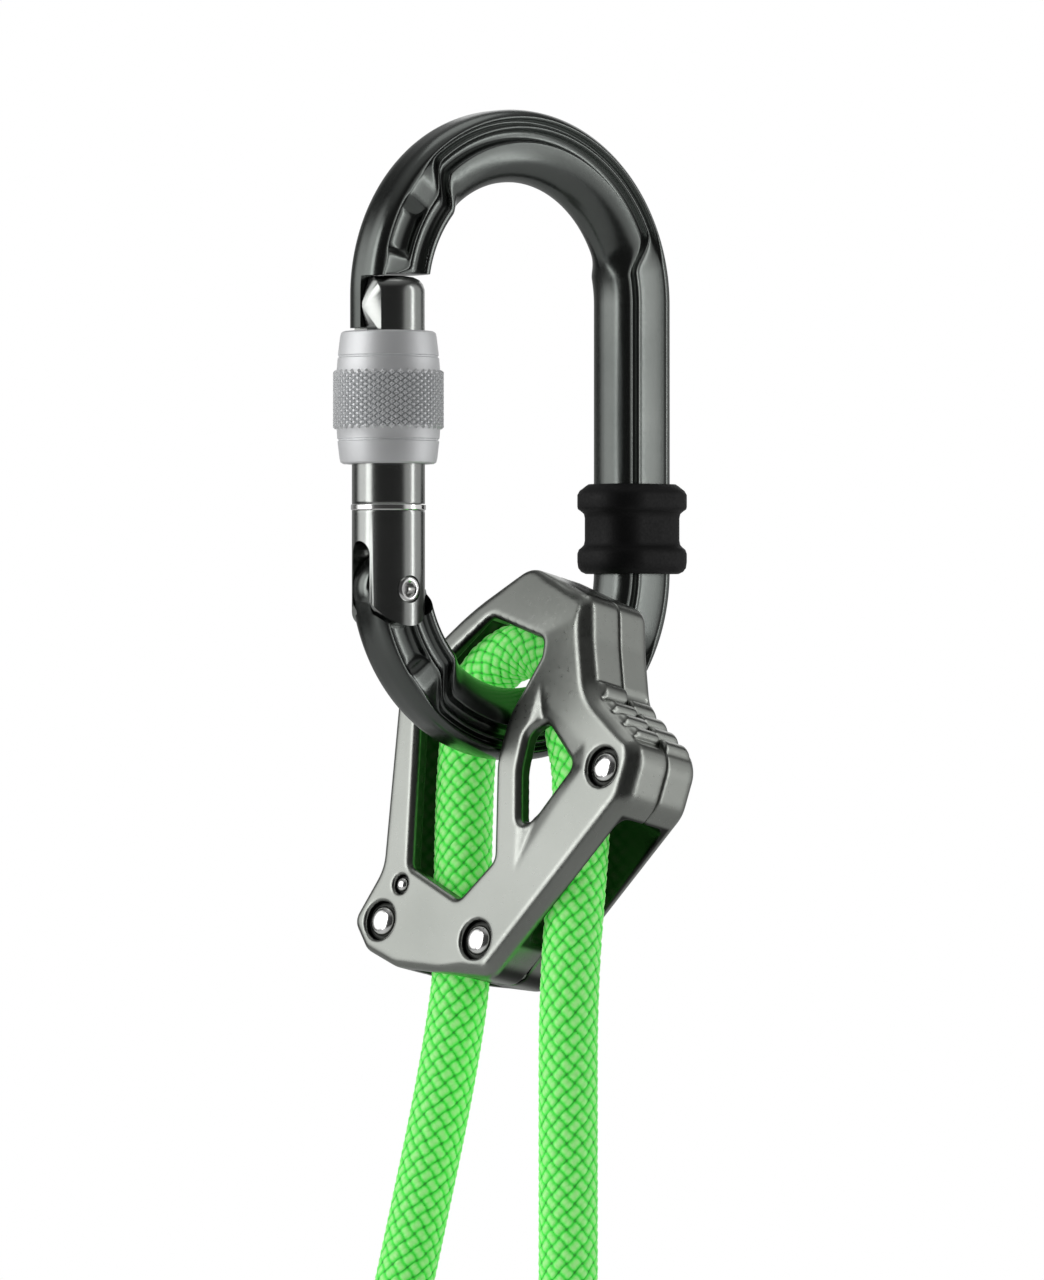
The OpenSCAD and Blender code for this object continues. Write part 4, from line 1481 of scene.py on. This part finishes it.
@dataclass
class Knurl:
    """Crossed knurl as rows of small pyramids, laid by a node tree round an upright cylinder."""

    centre: Point
    radius: float = 8.62
    low: float = -40.95
    high: float = -32.35
    rows: int = 19
    columns: int = 38
    width: float = 1.34
    tall: float = 1.16
    depth: float = 0.46

    def _stud(self) -> bpy.types.Object:
        """Makes one pyramid with a blunt top, lying on the X axis.

        Returns:
            The pyramid.
        """
        w, t, d = self.width / 2 * MM, self.tall / 2 * MM, self.depth * MM
        ring = [(0, -w, 0), (0, 0, -t), (0, w, 0), (0, 0, t)]
        base = [(x - 0.25 * MM, y, z) for x, y, z in ring]
        waist = [(d * 0.35, y * 0.86, z * 0.86) for _, y, z in ring]
        top = [(d, y * 0.36, z * 0.36) for _, y, z in ring]
        verts = base + waist + top
        faces = [(3, 2, 1, 0), (8, 9, 10, 11)]
        for low, high in ((0, 4), (4, 8)):
            faces += [(low + k, low + (k + 1) % 4, high + (k + 1) % 4, high + k) for k in range(4)]
        return mesh_object("stud", np.array(verts), faces, sharp=50)

    def build(self, material: bpy.types.Material) -> bpy.types.Object:
        """Lays the studs and turns the result into one mesh.

        Args:
            material: The sleeve's finish.

        Returns:
            The knurl.
        """
        stud = self._stud()
        tree = bpy.data.node_groups.new("knurl", "GeometryNodeTree")
        kinds = {"Rows": "Int", "Columns": "Int", "Radius": "Float", "Pitch": "Float"}
        for name, kind in kinds.items():
            tree.interface.new_socket(name, in_out="INPUT", socket_type=f"NodeSocket{kind}")
        tree.interface.new_socket("Geometry", in_out="OUTPUT", socket_type="NodeSocketGeometry")
        add, link = tree.nodes.new, tree.links.new
        start, end = add("NodeGroupInput"), add("NodeGroupOutput")

        def math_node(operation: str, a: object, b: object) -> bpy.types.NodeSocket:
            """Adds a sum.

            Args:
                operation: The node's operation.
                a: First value or socket.
                b: Second one.

            Returns:
                The socket with the result.
            """
            node = add("ShaderNodeMath")
            node.operation = operation
            for socket, value in zip(node.inputs, (a, b)):
                if isinstance(value, (int, float)):
                    socket.default_value = value
                else:
                    link(value, socket)
            return node.outputs[0]

        total = math_node("MULTIPLY", start.outputs["Rows"], start.outputs["Columns"])
        points = add("GeometryNodePoints")
        link(total, points.inputs["Count"])
        index = add("GeometryNodeInputIndex").outputs[0]
        row = math_node("FLOOR", math_node("DIVIDE", index, start.outputs["Columns"]), 0)
        column = math_node("MODULO", index, start.outputs["Columns"])
        shift = math_node("MULTIPLY", math_node("MODULO", row, 2.0), 0.5)
        share = math_node("DIVIDE", math_node("ADD", column, shift), start.outputs["Columns"])
        turn = math_node("MULTIPLY", share, math.tau)
        place = add("ShaderNodeCombineXYZ")
        link(math_node("MULTIPLY", math_node("COSINE", turn, 0), start.outputs["Radius"]), place.inputs[0])
        link(math_node("MULTIPLY", math_node("SINE", turn, 0), start.outputs["Radius"]), place.inputs[1])
        link(math_node("MULTIPLY", row, start.outputs["Pitch"]), place.inputs[2])
        link(place.outputs[0], points.inputs["Position"])
        rotation = add("ShaderNodeCombineXYZ")
        link(turn, rotation.inputs[2])
        source = add("GeometryNodeObjectInfo")
        source.inputs["Object"].default_value = stud
        instance = add("GeometryNodeInstanceOnPoints")
        link(points.outputs[0], instance.inputs["Points"])
        link(source.outputs["Geometry"], instance.inputs["Instance"])
        link(rotation.outputs[0], instance.inputs["Rotation"])
        solid = add("GeometryNodeRealizeInstances")
        link(instance.outputs[0], solid.inputs[0])
        coat = add("GeometryNodeSetMaterial")
        coat.inputs["Material"].default_value = material
        link(solid.outputs[0], coat.inputs["Geometry"])
        link(coat.outputs[0], end.inputs[0])
        holder = bpy.data.objects.new("knurl_holder", bpy.data.meshes.new("knurl_holder"))
        bpy.context.scene.collection.objects.link(holder)
        modifier = holder.modifiers.new("knurl", "NODES")
        modifier.node_group = tree
        values = {"Rows": self.rows, "Columns": self.columns, "Radius": self.radius * MM,
                  "Pitch": (self.high - self.low) / (self.rows - 1) * MM}
        for socket in tree.interface.items_tree:
            if socket.in_out == "INPUT":
                modifier[socket.identifier] = values[socket.name]
        graph = bpy.context.evaluated_depsgraph_get()
        graph.update()
        mesh = bpy.data.meshes.new_from_object(holder.evaluated_get(graph))
        mesh.transform(Matrix.Translation(Vector((self.centre[0], self.centre[1], self.low)) * MM))
        bpy.data.objects.remove(holder)
        bpy.data.objects.remove(stud)
        piece = bpy.data.objects.new("sleeve_knurl", mesh)
        bpy.context.scene.collection.objects.link(piece)
        return dress(piece, material)


@dataclass
class Gate:
    """Round gate with its screw sleeve, stop ring and hinge pin."""

    x: float = -25.7
    radius: float = 6.0
    hinge_z: float = -67.7
    top_z: float = -16.4
    notch_face: float = -28.8
    slot_half: float = 2.3
    slot_top: float = -59.8
    ring_z: float = -54.25
    sleeve_top: float = -25.45
    sleeve_low: float = -47.15
    bore: float = 6.3
    ear_skin: float = 0.04
    pin_bore: float = 2.25
    nose_floor: float = -26.2
    nose_web: float = 4.4
    nose_wedge: float = 5.75
    wedge_z: float = -21.2
    wedge_top: float = -17.0
    flat_turn: float = 72.0
    flat_reach: float = 5.5

    def barrel(self) -> bpy.types.Object:
        """Turns the barrel, then cuts its hinge ears, its slot, its pin bore, its nose notch and a flat.

        Returns:
            The barrel.
        """
        r, top, z, groove = self.radius, self.top_z, self.hinge_z, self.ring_z
        profile = [(0, top), (r - 3.2, top), (r - 1.9, top - 0.18), (r - 0.9, top - 0.65)]
        profile += [(r - 0.3, top - 1.35), (r, top - 2.3), (r, top - 2.8), (r, groove + 1.0)]
        profile += [(r, groove + 0.62), (r - 0.08, groove + 0.5), (r - 0.5, groove + 0.5), (r - 0.5, groove - 0.5)]
        profile += [(r - 0.08, groove - 0.5), (r, groove - 0.62), (r, groove - 1.0), (r, z - 7), (0, z - 7)]
        piece = lathe("gate_tube", profile, axis_at((self.x, 0, 0), (0, 0, 1)), 120, 35)
        hinge = axis_at((self.x, 0, z), (0, 1, 0))
        ears = box_tool((self.x - 8, -9, z - 9), (self.x + 8, 9, z))
        cut(ears, drum_tool(r - self.ear_skin, -10, 10, hinge, 90))
        cut(piece, ears)
        cut(piece, self._slot())
        cut(piece, drum_tool(self.pin_bore, -9, 9, hinge, 64))
        floor, far, web = self.nose_floor, self.x - 9, self.x - self.nose_web
        notch = [(far, floor), (web, floor), (self.x - self.nose_wedge, self.wedge_z), (web, self.wedge_top),
                 (web, top + 1), (far, top + 1)]
        cut(piece, prism_tool([(x, -8, z) for x, z in notch], [(x, 8, z) for x, z in notch]))
        cut(piece, box_tool((far, -0.4, floor), (self.notch_face, 8, top + 1)))
        out = Matrix.Rotation(math.radians(-self.flat_turn), 4, "Z")
        place = Matrix.Translation((self.x * MM, 0, 0)) @ out @ Matrix.Scale(MM, 4)
        cut(piece, box_tool((-6, -9, floor), (6, -self.flat_reach, top + 1), place))
        tidy_shading(piece, 38)
        return piece

    def _slot(self) -> bpy.types.Object:
        """Makes the arch-topped fork slot that the body's foot turns in.

        Returns:
            The slot, to cut with.
        """
        half, low = self.slot_half, self.hinge_z - 8
        turns = np.linspace(0, math.pi, 17)
        arch = [(-half * math.cos(t), self.slot_top - half + half * math.sin(t)) for t in turns]
        outline = [(-half, low), *arch, (half, low)]
        return prism_tool([(self.x - 9, y, z) for y, z in outline], [(self.x + 9, y, z) for y, z in outline])

    def sleeve(self) -> bpy.types.Object:
        """Turns the sleeve's plain body with its grooves.

        Returns:
            The sleeve.
        """
        top, low, bore = self.sleeve_top, self.sleeve_low, self.bore
        profile = [(bore, top - 0.5), (bore + 0.4, top), (7.35, top), (7.75, top - 0.25), (7.92, top - 0.9)]
        profile += [(8.28, -29.35), (8.12, -29.5), (8.12, -29.7), (8.32, -29.85), (8.5, -31.9), (8.62, -32.1)]
        profile += [(8.62, -41.2), (8.5, -41.4), (8.38, -43.0), (8.18, -43.15), (8.18, -43.35), (8.34, -43.5)]
        profile += [(8.02, low + 0.9), (7.85, low + 0.25), (7.45, low), (bore + 0.4, low), (bore, low + 0.5)]
        profile += [(bore, -37.5), (7.15, -37.4), (7.15, -35.1), (bore, -35.0)]
        return lathe("screw_sleeve", profile, axis_at((self.x, 0, 0), (0, 0, 1)), 128, 30)

    def ring(self) -> bpy.types.Object:
        """Turns the bright stop ring.

        Returns:
            The ring.
        """
        z, r = self.ring_z, self.radius
        profile = [(r - 0.5, z - 0.5), (r + 0.02, z - 0.5), (r + 0.15, z - 0.35), (r + 0.15, z + 0.35),
                   (r + 0.02, z + 0.5), (r - 0.5, z + 0.5)]
        return lathe("bright_stop_ring", profile, axis_at((self.x, 0, 0), (0, 0, 1)), 96, 40)

    def pin(self) -> bpy.types.Object:
        """Turns the hinge pin with a dished, flared head at each end.

        Returns:
            The pin.
        """
        reach = self.radius - 0.08
        side = [(0, -reach + 1.7), (0.9, -reach + 1.6), (1.15, -reach + 0.25), (1.4, -reach + 0.05),
                (1.8, -reach + 0.08), (2.12, -reach + 0.32), (2.12, -reach + 1.2), (1.5, -reach + 1.5)]
        profile = side + [(r, -y) for r, y in reversed(side)]
        return lathe("hinge_pin", profile, axis_at((self.x, 0, self.hinge_z), (0, 1, 0)), 64, 40)

    def build(self, paint: dict[str, bpy.types.Material]) -> None:
        """Makes the gate's pieces.

        Args:
            paint: Materials by finish.
        """
        rows = (
            (self.barrel(), "gate", "gate", "anodised_gate", ("gate_barrel",)),
            (self.ring(), "gate", "polished", "bright_ring", ("stop_ring",)),
            (self.pin(), "root", "polished", "rivet_steel", ("gate_pin",)),
            (self.sleeve(), "sleeve", "sleeve", "silver_sleeve", ("lock_sleeve",)),
        )
        for piece, body, finish, slot, nodes in rows:
            dress(piece, paint[finish])
            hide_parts(*nodes)
            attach(piece, body)
            LOG.info("gate: %s", piece.name)
        knurl = Knurl((self.x, 0.0)).build(paint["sleeve"])
        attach(knurl, "sleeve")
        LOG.info("gate: %s", knurl.name)


# ---------------------------------------------------------------- belay device


class Half(Enum):
    """The two halves of the casing."""

    FRONT = "front"
    BACK = "back"


@dataclass
class Casing:
    """Two shells that hold the rope on the bar, their rivets, steel insert and strand divider.

    Sizes are in mm in the plates' plane, with x to the right and z up from the bar's middle.
    """

    seat: Seat = field(default_factory=Seat)
    thick: float = 17.0
    plate: float = 3.0
    step: float = 0.29
    lift: float = 1.0
    cavity_radius: float = 16.8
    channel_half: float = 5.4
    outline: tuple[Point, ...] = (
        (2.2, 25.4, 5), (17.9, 20.0, 3), (19.3, 13, 12), (22, 3.6, 8), (33.8, -5.4, 5), (32.2, -14.2, 6),
        (7.6, -44.3, 3.5), (-13.5, -43.0, 6), (-20.4, -40.4, 3), (-24.2, -35.6, 2.6), (-19.2, -26.5, 7),
        (-21.4, 4.4, 9), (-9.2, 18, 30),
    )
    front_window: tuple[Point, ...] = (
        (-16.4, 4.4, 3), (-3.9, 16.6, 1.5), (9.6, 12.4, 1.2), (9.6, 9.6, 1.5), (4.3, -0.5, 12), (3.0, -8, 12),
        (5.6, -24.6, 2), (-1, -31.4, 1.5), (-12.6, -26.2, 1.5),
    )
    front_slot: tuple[Point, ...] = (
        (12.6, -1.3, 1.5), (9.2, -3.4, 2.5), (8.6, -9.5, 8), (10.4, -19.6, 1), (19.2, -8.6, 1.4),
    )
    back_window: tuple[Point, ...] = (
        (-16.4, 4.4, 3), (-3.9, 18.2, 1.5), (12.6, 16.6, 1.5), (13.4, 9.6, 2), (9.4, 0.5, 8), (8.6, -8, 8),
        (8.8, -24.6, 2), (-1, -31.4, 1.5), (-12.6, -26.2, 1.5),
    )
    back_slot: tuple[Point, ...] = ((14.9, -3.4, 1.2), (13.6, -9.5, 4), (13.8, -15.4, 0.6), (19.2, -8.6, 1.4))
    between: tuple[Point, ...] = (
        (-12, 2, 0.5), (12, 2, 0.5), (14, -24, 1), (8, -29.5, 3), (-1.5, -29.5, 3), (-7, -20, 1),
    )
    side_exit: tuple[Point, ...] = (
        (13, -4, 1), (19.2, -8.8, 3), (24.6, -14.6, 3), (37.8, -20, 1), (37.8, -60, 1), (12.6, -60, 1),
    )
    divider: tuple[Point, ...] = (
        (0.4, -43.7, 1.2), (-0.3, -35, 2), (2.6, -30.2, 3), (8.4, -30.2, 3), (11.4, -36, 3), (8.4, -43.4, 2),
    )
    load_channel: tuple[Point, ...] = (
        (-11.4, 1.0), (-11.0, -8.0), (-9.6, -18.0), (-8.1, -27.0), (-6.4, -36.0), (-5.4, -44.0),
        (-5.4, -47.3),
    )
    brake_channel: tuple[Point, ...] = (
        (11.4, 1.0), (12.3, -2.5), (14.8, -8.5), (16.4, -18.0), (17.2, -27.0), (18.0, -36.5),
    )
    facet: tuple[Point, ...] = (
        (10.6, 6.2, 0.4), (13.2, 1.2, 3), (22.6, -4.6, 2), (23.0, -9.0, 2.5), (18.2, -15.8, 4),
        (10.6, -27.6, 0.4), (9.8, -19.6, 2), (8.3, -9.5, 6), (8.9, -3.2, 3),
    )
    crown_slope: float = 0.25
    facet_slope: float = 0.3
    exit_fillet: float = 2.2
    pocket: Point = (15.8, 18.8)
    pocket_turn: Point = (38.0, 112.0)
    rivets: tuple[Point, ...] = ((26.6, -8.8), (-17.7, -35.4), (4.3, -38.0))
    rivet_seat: Point = (3.3, 1.6)
    small_rivet: Point = (-14.2, -29.2)
    small_seat: Point = (1.6, 1.3)
    rib_start: Point = (21.6, 4.4)
    rib_stop: Point = (31.4, -4.4)
    rib_step: float = 3.45
    rib_half: float = 1.5
    rib_height: float = 0.85
    rib_sink: float = 0.45
    seam_bevel: float = 0.25
    seat_bevel: float = 0.25
    opening_bevel: float = 0.75

    def _openings(self, front: bool) -> tuple[tuple[Point, ...], ...]:
        """Returns the outlines of the window and the slot of one half."""
        return (self.front_window, self.front_slot) if front else (self.back_window, self.back_slot)

    def _ribs(self, x: np.ndarray, z: np.ndarray, half: Half) -> tuple[np.ndarray, np.ndarray]:
        """Places the finger ribs on the elbow's wall.

        Args:
            x: Grid of x.
            z: Grid of z.
            half: Which half of the casing.

        Returns:
            Height of the ribs and depth of the sunk field between them, in mm.
        """
        start, stop = np.array(self.rib_start), np.array(self.rib_stop)
        way = (stop - start) / np.linalg.norm(stop - start)
        along = (x - start[0]) * way[0] + (z - start[1]) * way[1]
        beside = (x - start[0]) * -way[1] + (z - start[1]) * way[0]
        raised = np.zeros(x.shape)
        offset = 0.4 if half is Half.FRONT else 0.4 + self.rib_step / 2
        for k in range(4):
            place = (along - offset - k * self.rib_step) / self.rib_half
            raised = np.maximum(raised, np.clip(1 - np.abs(place) ** 2.6, 0, 1) ** 0.6)
        near = soft_step(beside, -4.0, -2.5)
        field_part = soft_step(along, -1.5, -0.5) * (1 - soft_step(along, 12.8, 14.0))
        return self.rib_height * raised * near, self.rib_sink * near * field_part * (1 - raised)

    def _to(self, outline: tuple[Point, ...], x: np.ndarray, z: np.ndarray) -> np.ndarray:
        """Distance to an outline with rounded corners."""
        return outline_distance(rounded(list(outline)), x, z)

    def _channel(self, route: tuple[Point, ...], x: np.ndarray, z: np.ndarray) -> np.ndarray:
        """Distance to a rope channel.

        Args:
            route: Middle line of the channel.
            x: Grid of x.
            z: Grid of z.

        Returns:
            Grid of distances in mm, negative inside.
        """
        half = self.channel_half
        edge = [(px - half, pz) for px, pz in route] + [(px + half, pz) for px, pz in reversed(route)]
        return outline_distance(np.array(edge), x, z)

    def _cavity(self, x: np.ndarray, z: np.ndarray) -> np.ndarray:
        """Distance to the space between the plates.

        Args:
            x: Grid of x.
            z: Grid of z.

        Returns:
            Grid of distances in mm, negative inside.
        """
        ring, turn = np.hypot(x, z - self.lift), np.degrees(np.arctan2(z - self.lift, x))
        (inner, outer), (start, stop) = self.pocket, self.pocket_turn
        pocket = np.maximum(np.maximum(ring - outer, inner - ring),
                            np.where((turn > start) & (turn < stop), -1.0, 1.0))
        parts = [ring - self.cavity_radius, pocket]
        parts += [self._channel(route, x, z) for route in (self.load_channel, self.brake_channel)]
        parts += [self._to(outline, x, z) for outline in (self.between, self.side_exit, self.divider)]
        return np.minimum.reduce(parts)

    def shell(self, half: Half) -> bpy.types.Object:
        """Shapes one half as a distance field and meshes it.

        Args:
            half: Which half of the casing.

        Returns:
            The shell.
        """
        h = self.step
        across, up = np.arange(-26.6, 36.6, h), np.arange(-46.6, 27.6, h)
        deep = np.arange(-1.2, self.thick / 2 + 1.2, h)
        x, z = np.meshgrid(across, up, indexing="ij")
        out = self._to(self.outline, x, z)
        ribs, sink = self._ribs(x, z, half)
        front = half is Half.FRONT
        openings = [self._to(outline, x, z) for outline in self._openings(front)]
        cavity = self._cavity(x, z)
        low_right = soft_step(0.774 * x - 0.633 * z, 24, 29)
        shoulder = soft_step(0.95 * x + 0.3 * z, 15, 20) * soft_step(z, -10, -2)
        crown = soft_step(z - 0.25 * x, 12.5, 22.0) * (1 - soft_step(x, 10, 18))
        chamfer = 0.8 + 0.95 * np.maximum(low_right, shoulder) + 2.0 * crown
        rise = np.clip(z - 0.3 * x - 10.0, 0, None)
        face = self.crown_slope * rise**2 / (rise + 2.5)
        if front:
            dish = np.clip(-self._to(self.facet, x, z), 0, 5.0)
            face = face + self.facet_slope * dish**2 / (dish + 0.8)
        t = deep[None, :, None]
        out3 = out[:, None, :]
        rib_end = np.sqrt(1 - (np.clip(3.2 - t, 0, 1.2) / 1.2) ** 2)
        side = out3 - ribs[:, None, :] * rib_end + sink[:, None, :] * soft_step(t, 1.7, 2.4)
        body = soft_max(side, face[:, None, :] - t, 0.5)
        body = soft_max(body, (out3 + chamfer[:, None, :] - t) / math.sqrt(1.65), 0.7)
        seam = self.thick / 2
        body = np.maximum(body, t - seam)
        body = np.maximum(body, (side + self.seam_bevel - (seam - t)) / math.sqrt(2))
        fillet = 0.2 + self.exit_fillet * soft_step(0.774 * x - 0.633 * z, 18, 24)
        hollow = soft_max(cavity[:, None, :], self.plate - t, fillet[:, None, :])
        body = soft_max(body, -hollow, 0.25)
        for opening in openings:
            gap = opening[:, None, :]
            hole = np.minimum(gap, (gap + t - self.opening_bevel - face[:, None, :]) / math.sqrt(2))
            body = soft_max(body, -hole, 0.35)
        seats = [(at, *self.rivet_seat) for at in self.rivets]
        if front:
            seats.append((self.small_rivet, *self.small_seat))
        for (cx, cz), radius, depth in seats:
            wall = np.hypot(x - cx, z - cz)[:, None, :] - radius
            rim = wall - self.seat_bevel
            sunk = np.minimum(np.maximum(wall, t - depth), np.maximum(rim, (rim + t) / math.sqrt(2)))
            body = np.maximum(body, -sunk)
        low = (across[0], deep[0] - seam, up[0])
        if not front:
            body = body[:, ::-1, :]
            low = (across[0], seam - deep[-1], up[0])
        piece = field_object(f"{half.value}_casing", body, low, h, self.seat)
        self._mark_painted_shade(piece, front)
        return piece

    def _mark_painted_shade(self, piece: bpy.types.Object, front: bool) -> None:
        """Stores where the surface is inside an opening, a rivet seat or the cavity, as the mask of the painted
        shade there.

        Args:
            piece: The shell.
            front: True for the front half.
        """
        count = len(piece.data.vertices)
        places = np.zeros(count * 3)
        piece.data.vertices.foreach_get("co", places)
        back = np.array(self.seat.matrix().inverted())
        x, y, z = (places.reshape(-1, 3) @ back[:3, :3].T + back[:3, 3]).T
        deep = self.thick / 2 - np.abs(y)
        inside = soft_step(-self._cavity(x, z), -0.8, -0.2)
        inside *= soft_step(deep, self.plate - 0.8, self.plate - 0.2)
        for opening in self._openings(front):
            edge = np.abs(self._to(opening, x, z))
            inside = np.maximum(inside, (1 - soft_step(edge, 0.3, 0.6)) * soft_step(deep, 0.8, 1.3))
        for cx, cz in (*self.rivets, self.small_rivet):
            away = np.hypot(x - cx, z - cz)
            inside = np.maximum(inside, (1 - soft_step(away, 3.4, 3.6)) * soft_step(deep, 0.25, 0.6))
        # the mask of the painted shade that the shell's material lays on these walls
        marks = piece.data.attributes.new("inside", "FLOAT", "POINT")
        marks.data.foreach_set("value", inside.astype(np.float32))

    def _axis(self, at: Point) -> Matrix:
        """Returns the frame of a rivet, its Z from the front plate to the back plate."""
        place = Matrix.Translation((at[0], 0, at[1]))
        return self.seat.matrix() @ place @ Matrix.Rotation(-math.pi / 2, 4, "X")

    def rivet(self, name: str, at: Point) -> bpy.types.Object:
        """Turns a rivet through both shells with a domed head at each end.

        Args:
            name: The object's name.
            at: Place in the plates' plane.

        Returns:
            The rivet.
        """
        end = self.thick / 2
        dome = ((0, 0.02), (0.9, 0.06), (1.6, 0.18), (2.1, 0.4), (2.42, 0.72), (2.55, 1.1), (2.55, 1.6),
                (1.9, 1.6))
        head = [(r, depth - end) for r, depth in dome]
        profile = head + [(r, -y) for r, y in reversed(head)]
        return lathe(name, profile, self._axis(at), 72, 50)

    def pin(self) -> bpy.types.Object:
        """Turns the small pin set in the front plate.

        Returns:
            The pin.
        """
        end = self.thick / 2
        dome = ((0, 0.05), (0.5, 0.09), (0.95, 0.3), (1.14, 0.62), (1.14, 2.4), (0, 2.4))
        profile = [(r, depth - end) for r, depth in dome]
        return lathe("small_pin", profile, self._axis(self.small_rivet), 56, 50)

    def build(self, paint: dict[str, bpy.types.Material]) -> None:
        """Makes the casing's pieces.

        Args:
            paint: Materials by finish.
        """
        rows = [(self.shell(Half.FRONT), "front_shell", "shell", "shell_metal"),
                (self.shell(Half.BACK), "back_shell", "shell", "shell_metal"),
                (self.pin(), "rivet_small", "polished", "rivet_steel")]
        for name, node, at in zip(("right_rivet", "left_rivet", "centre_rivet"),
                                  ("rivet_right", "rivet_left", "rivet_centre"), self.rivets):
            rows.append((self.rivet(name, at), node, "polished", "rivet_steel"))
        for piece, node, finish, slot in rows:
            dress(piece, paint[finish])
            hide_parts(node)
            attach(piece, "device")
            LOG.info("casing: %s, %d faces", piece.name, len(piece.data.polygons))


@dataclass
class KeptNodes:
    """CAD nodes whose shape is right, with the finish that each one gets."""

    finishes: dict[str, str] = field(default_factory=lambda: {
        "gate_spring": "polished", "spring_plunger": "polished", "sleeve_ring": "thread",
        "wear_insert": "insert", "strand_divider": "shell",
    })

    def dress(self, paint: dict[str, bpy.types.Material]) -> None:
        """Gives each node its finish.

        Args:
            paint: Materials by finish.
        """
        for node, finish in self.finishes.items():
            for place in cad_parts[node].material_slots:
                place.material = paint[finish]
            LOG.info("kept: %s", node)


@dataclass
class Ledger:
    """Keeps the CAD box."""

    cad: list

    def write(self) -> None:
        """Does nothing."""


def main() -> None:
    """Builds the studio and every sub-assembly in order."""
    logging.basicConfig(level=logging.INFO, format="%(message)s")
    Studio().build()
    paint = Finishes().build()
    Rope().build(paint)
    Carabiner().build(paint)
    Gate().build(paint)
    Casing().build(paint)
    KeptNodes().dress(paint)


if __name__ == "__main__":
    ledger = Ledger([list(corner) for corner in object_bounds()])
    main()
    ledger.write()
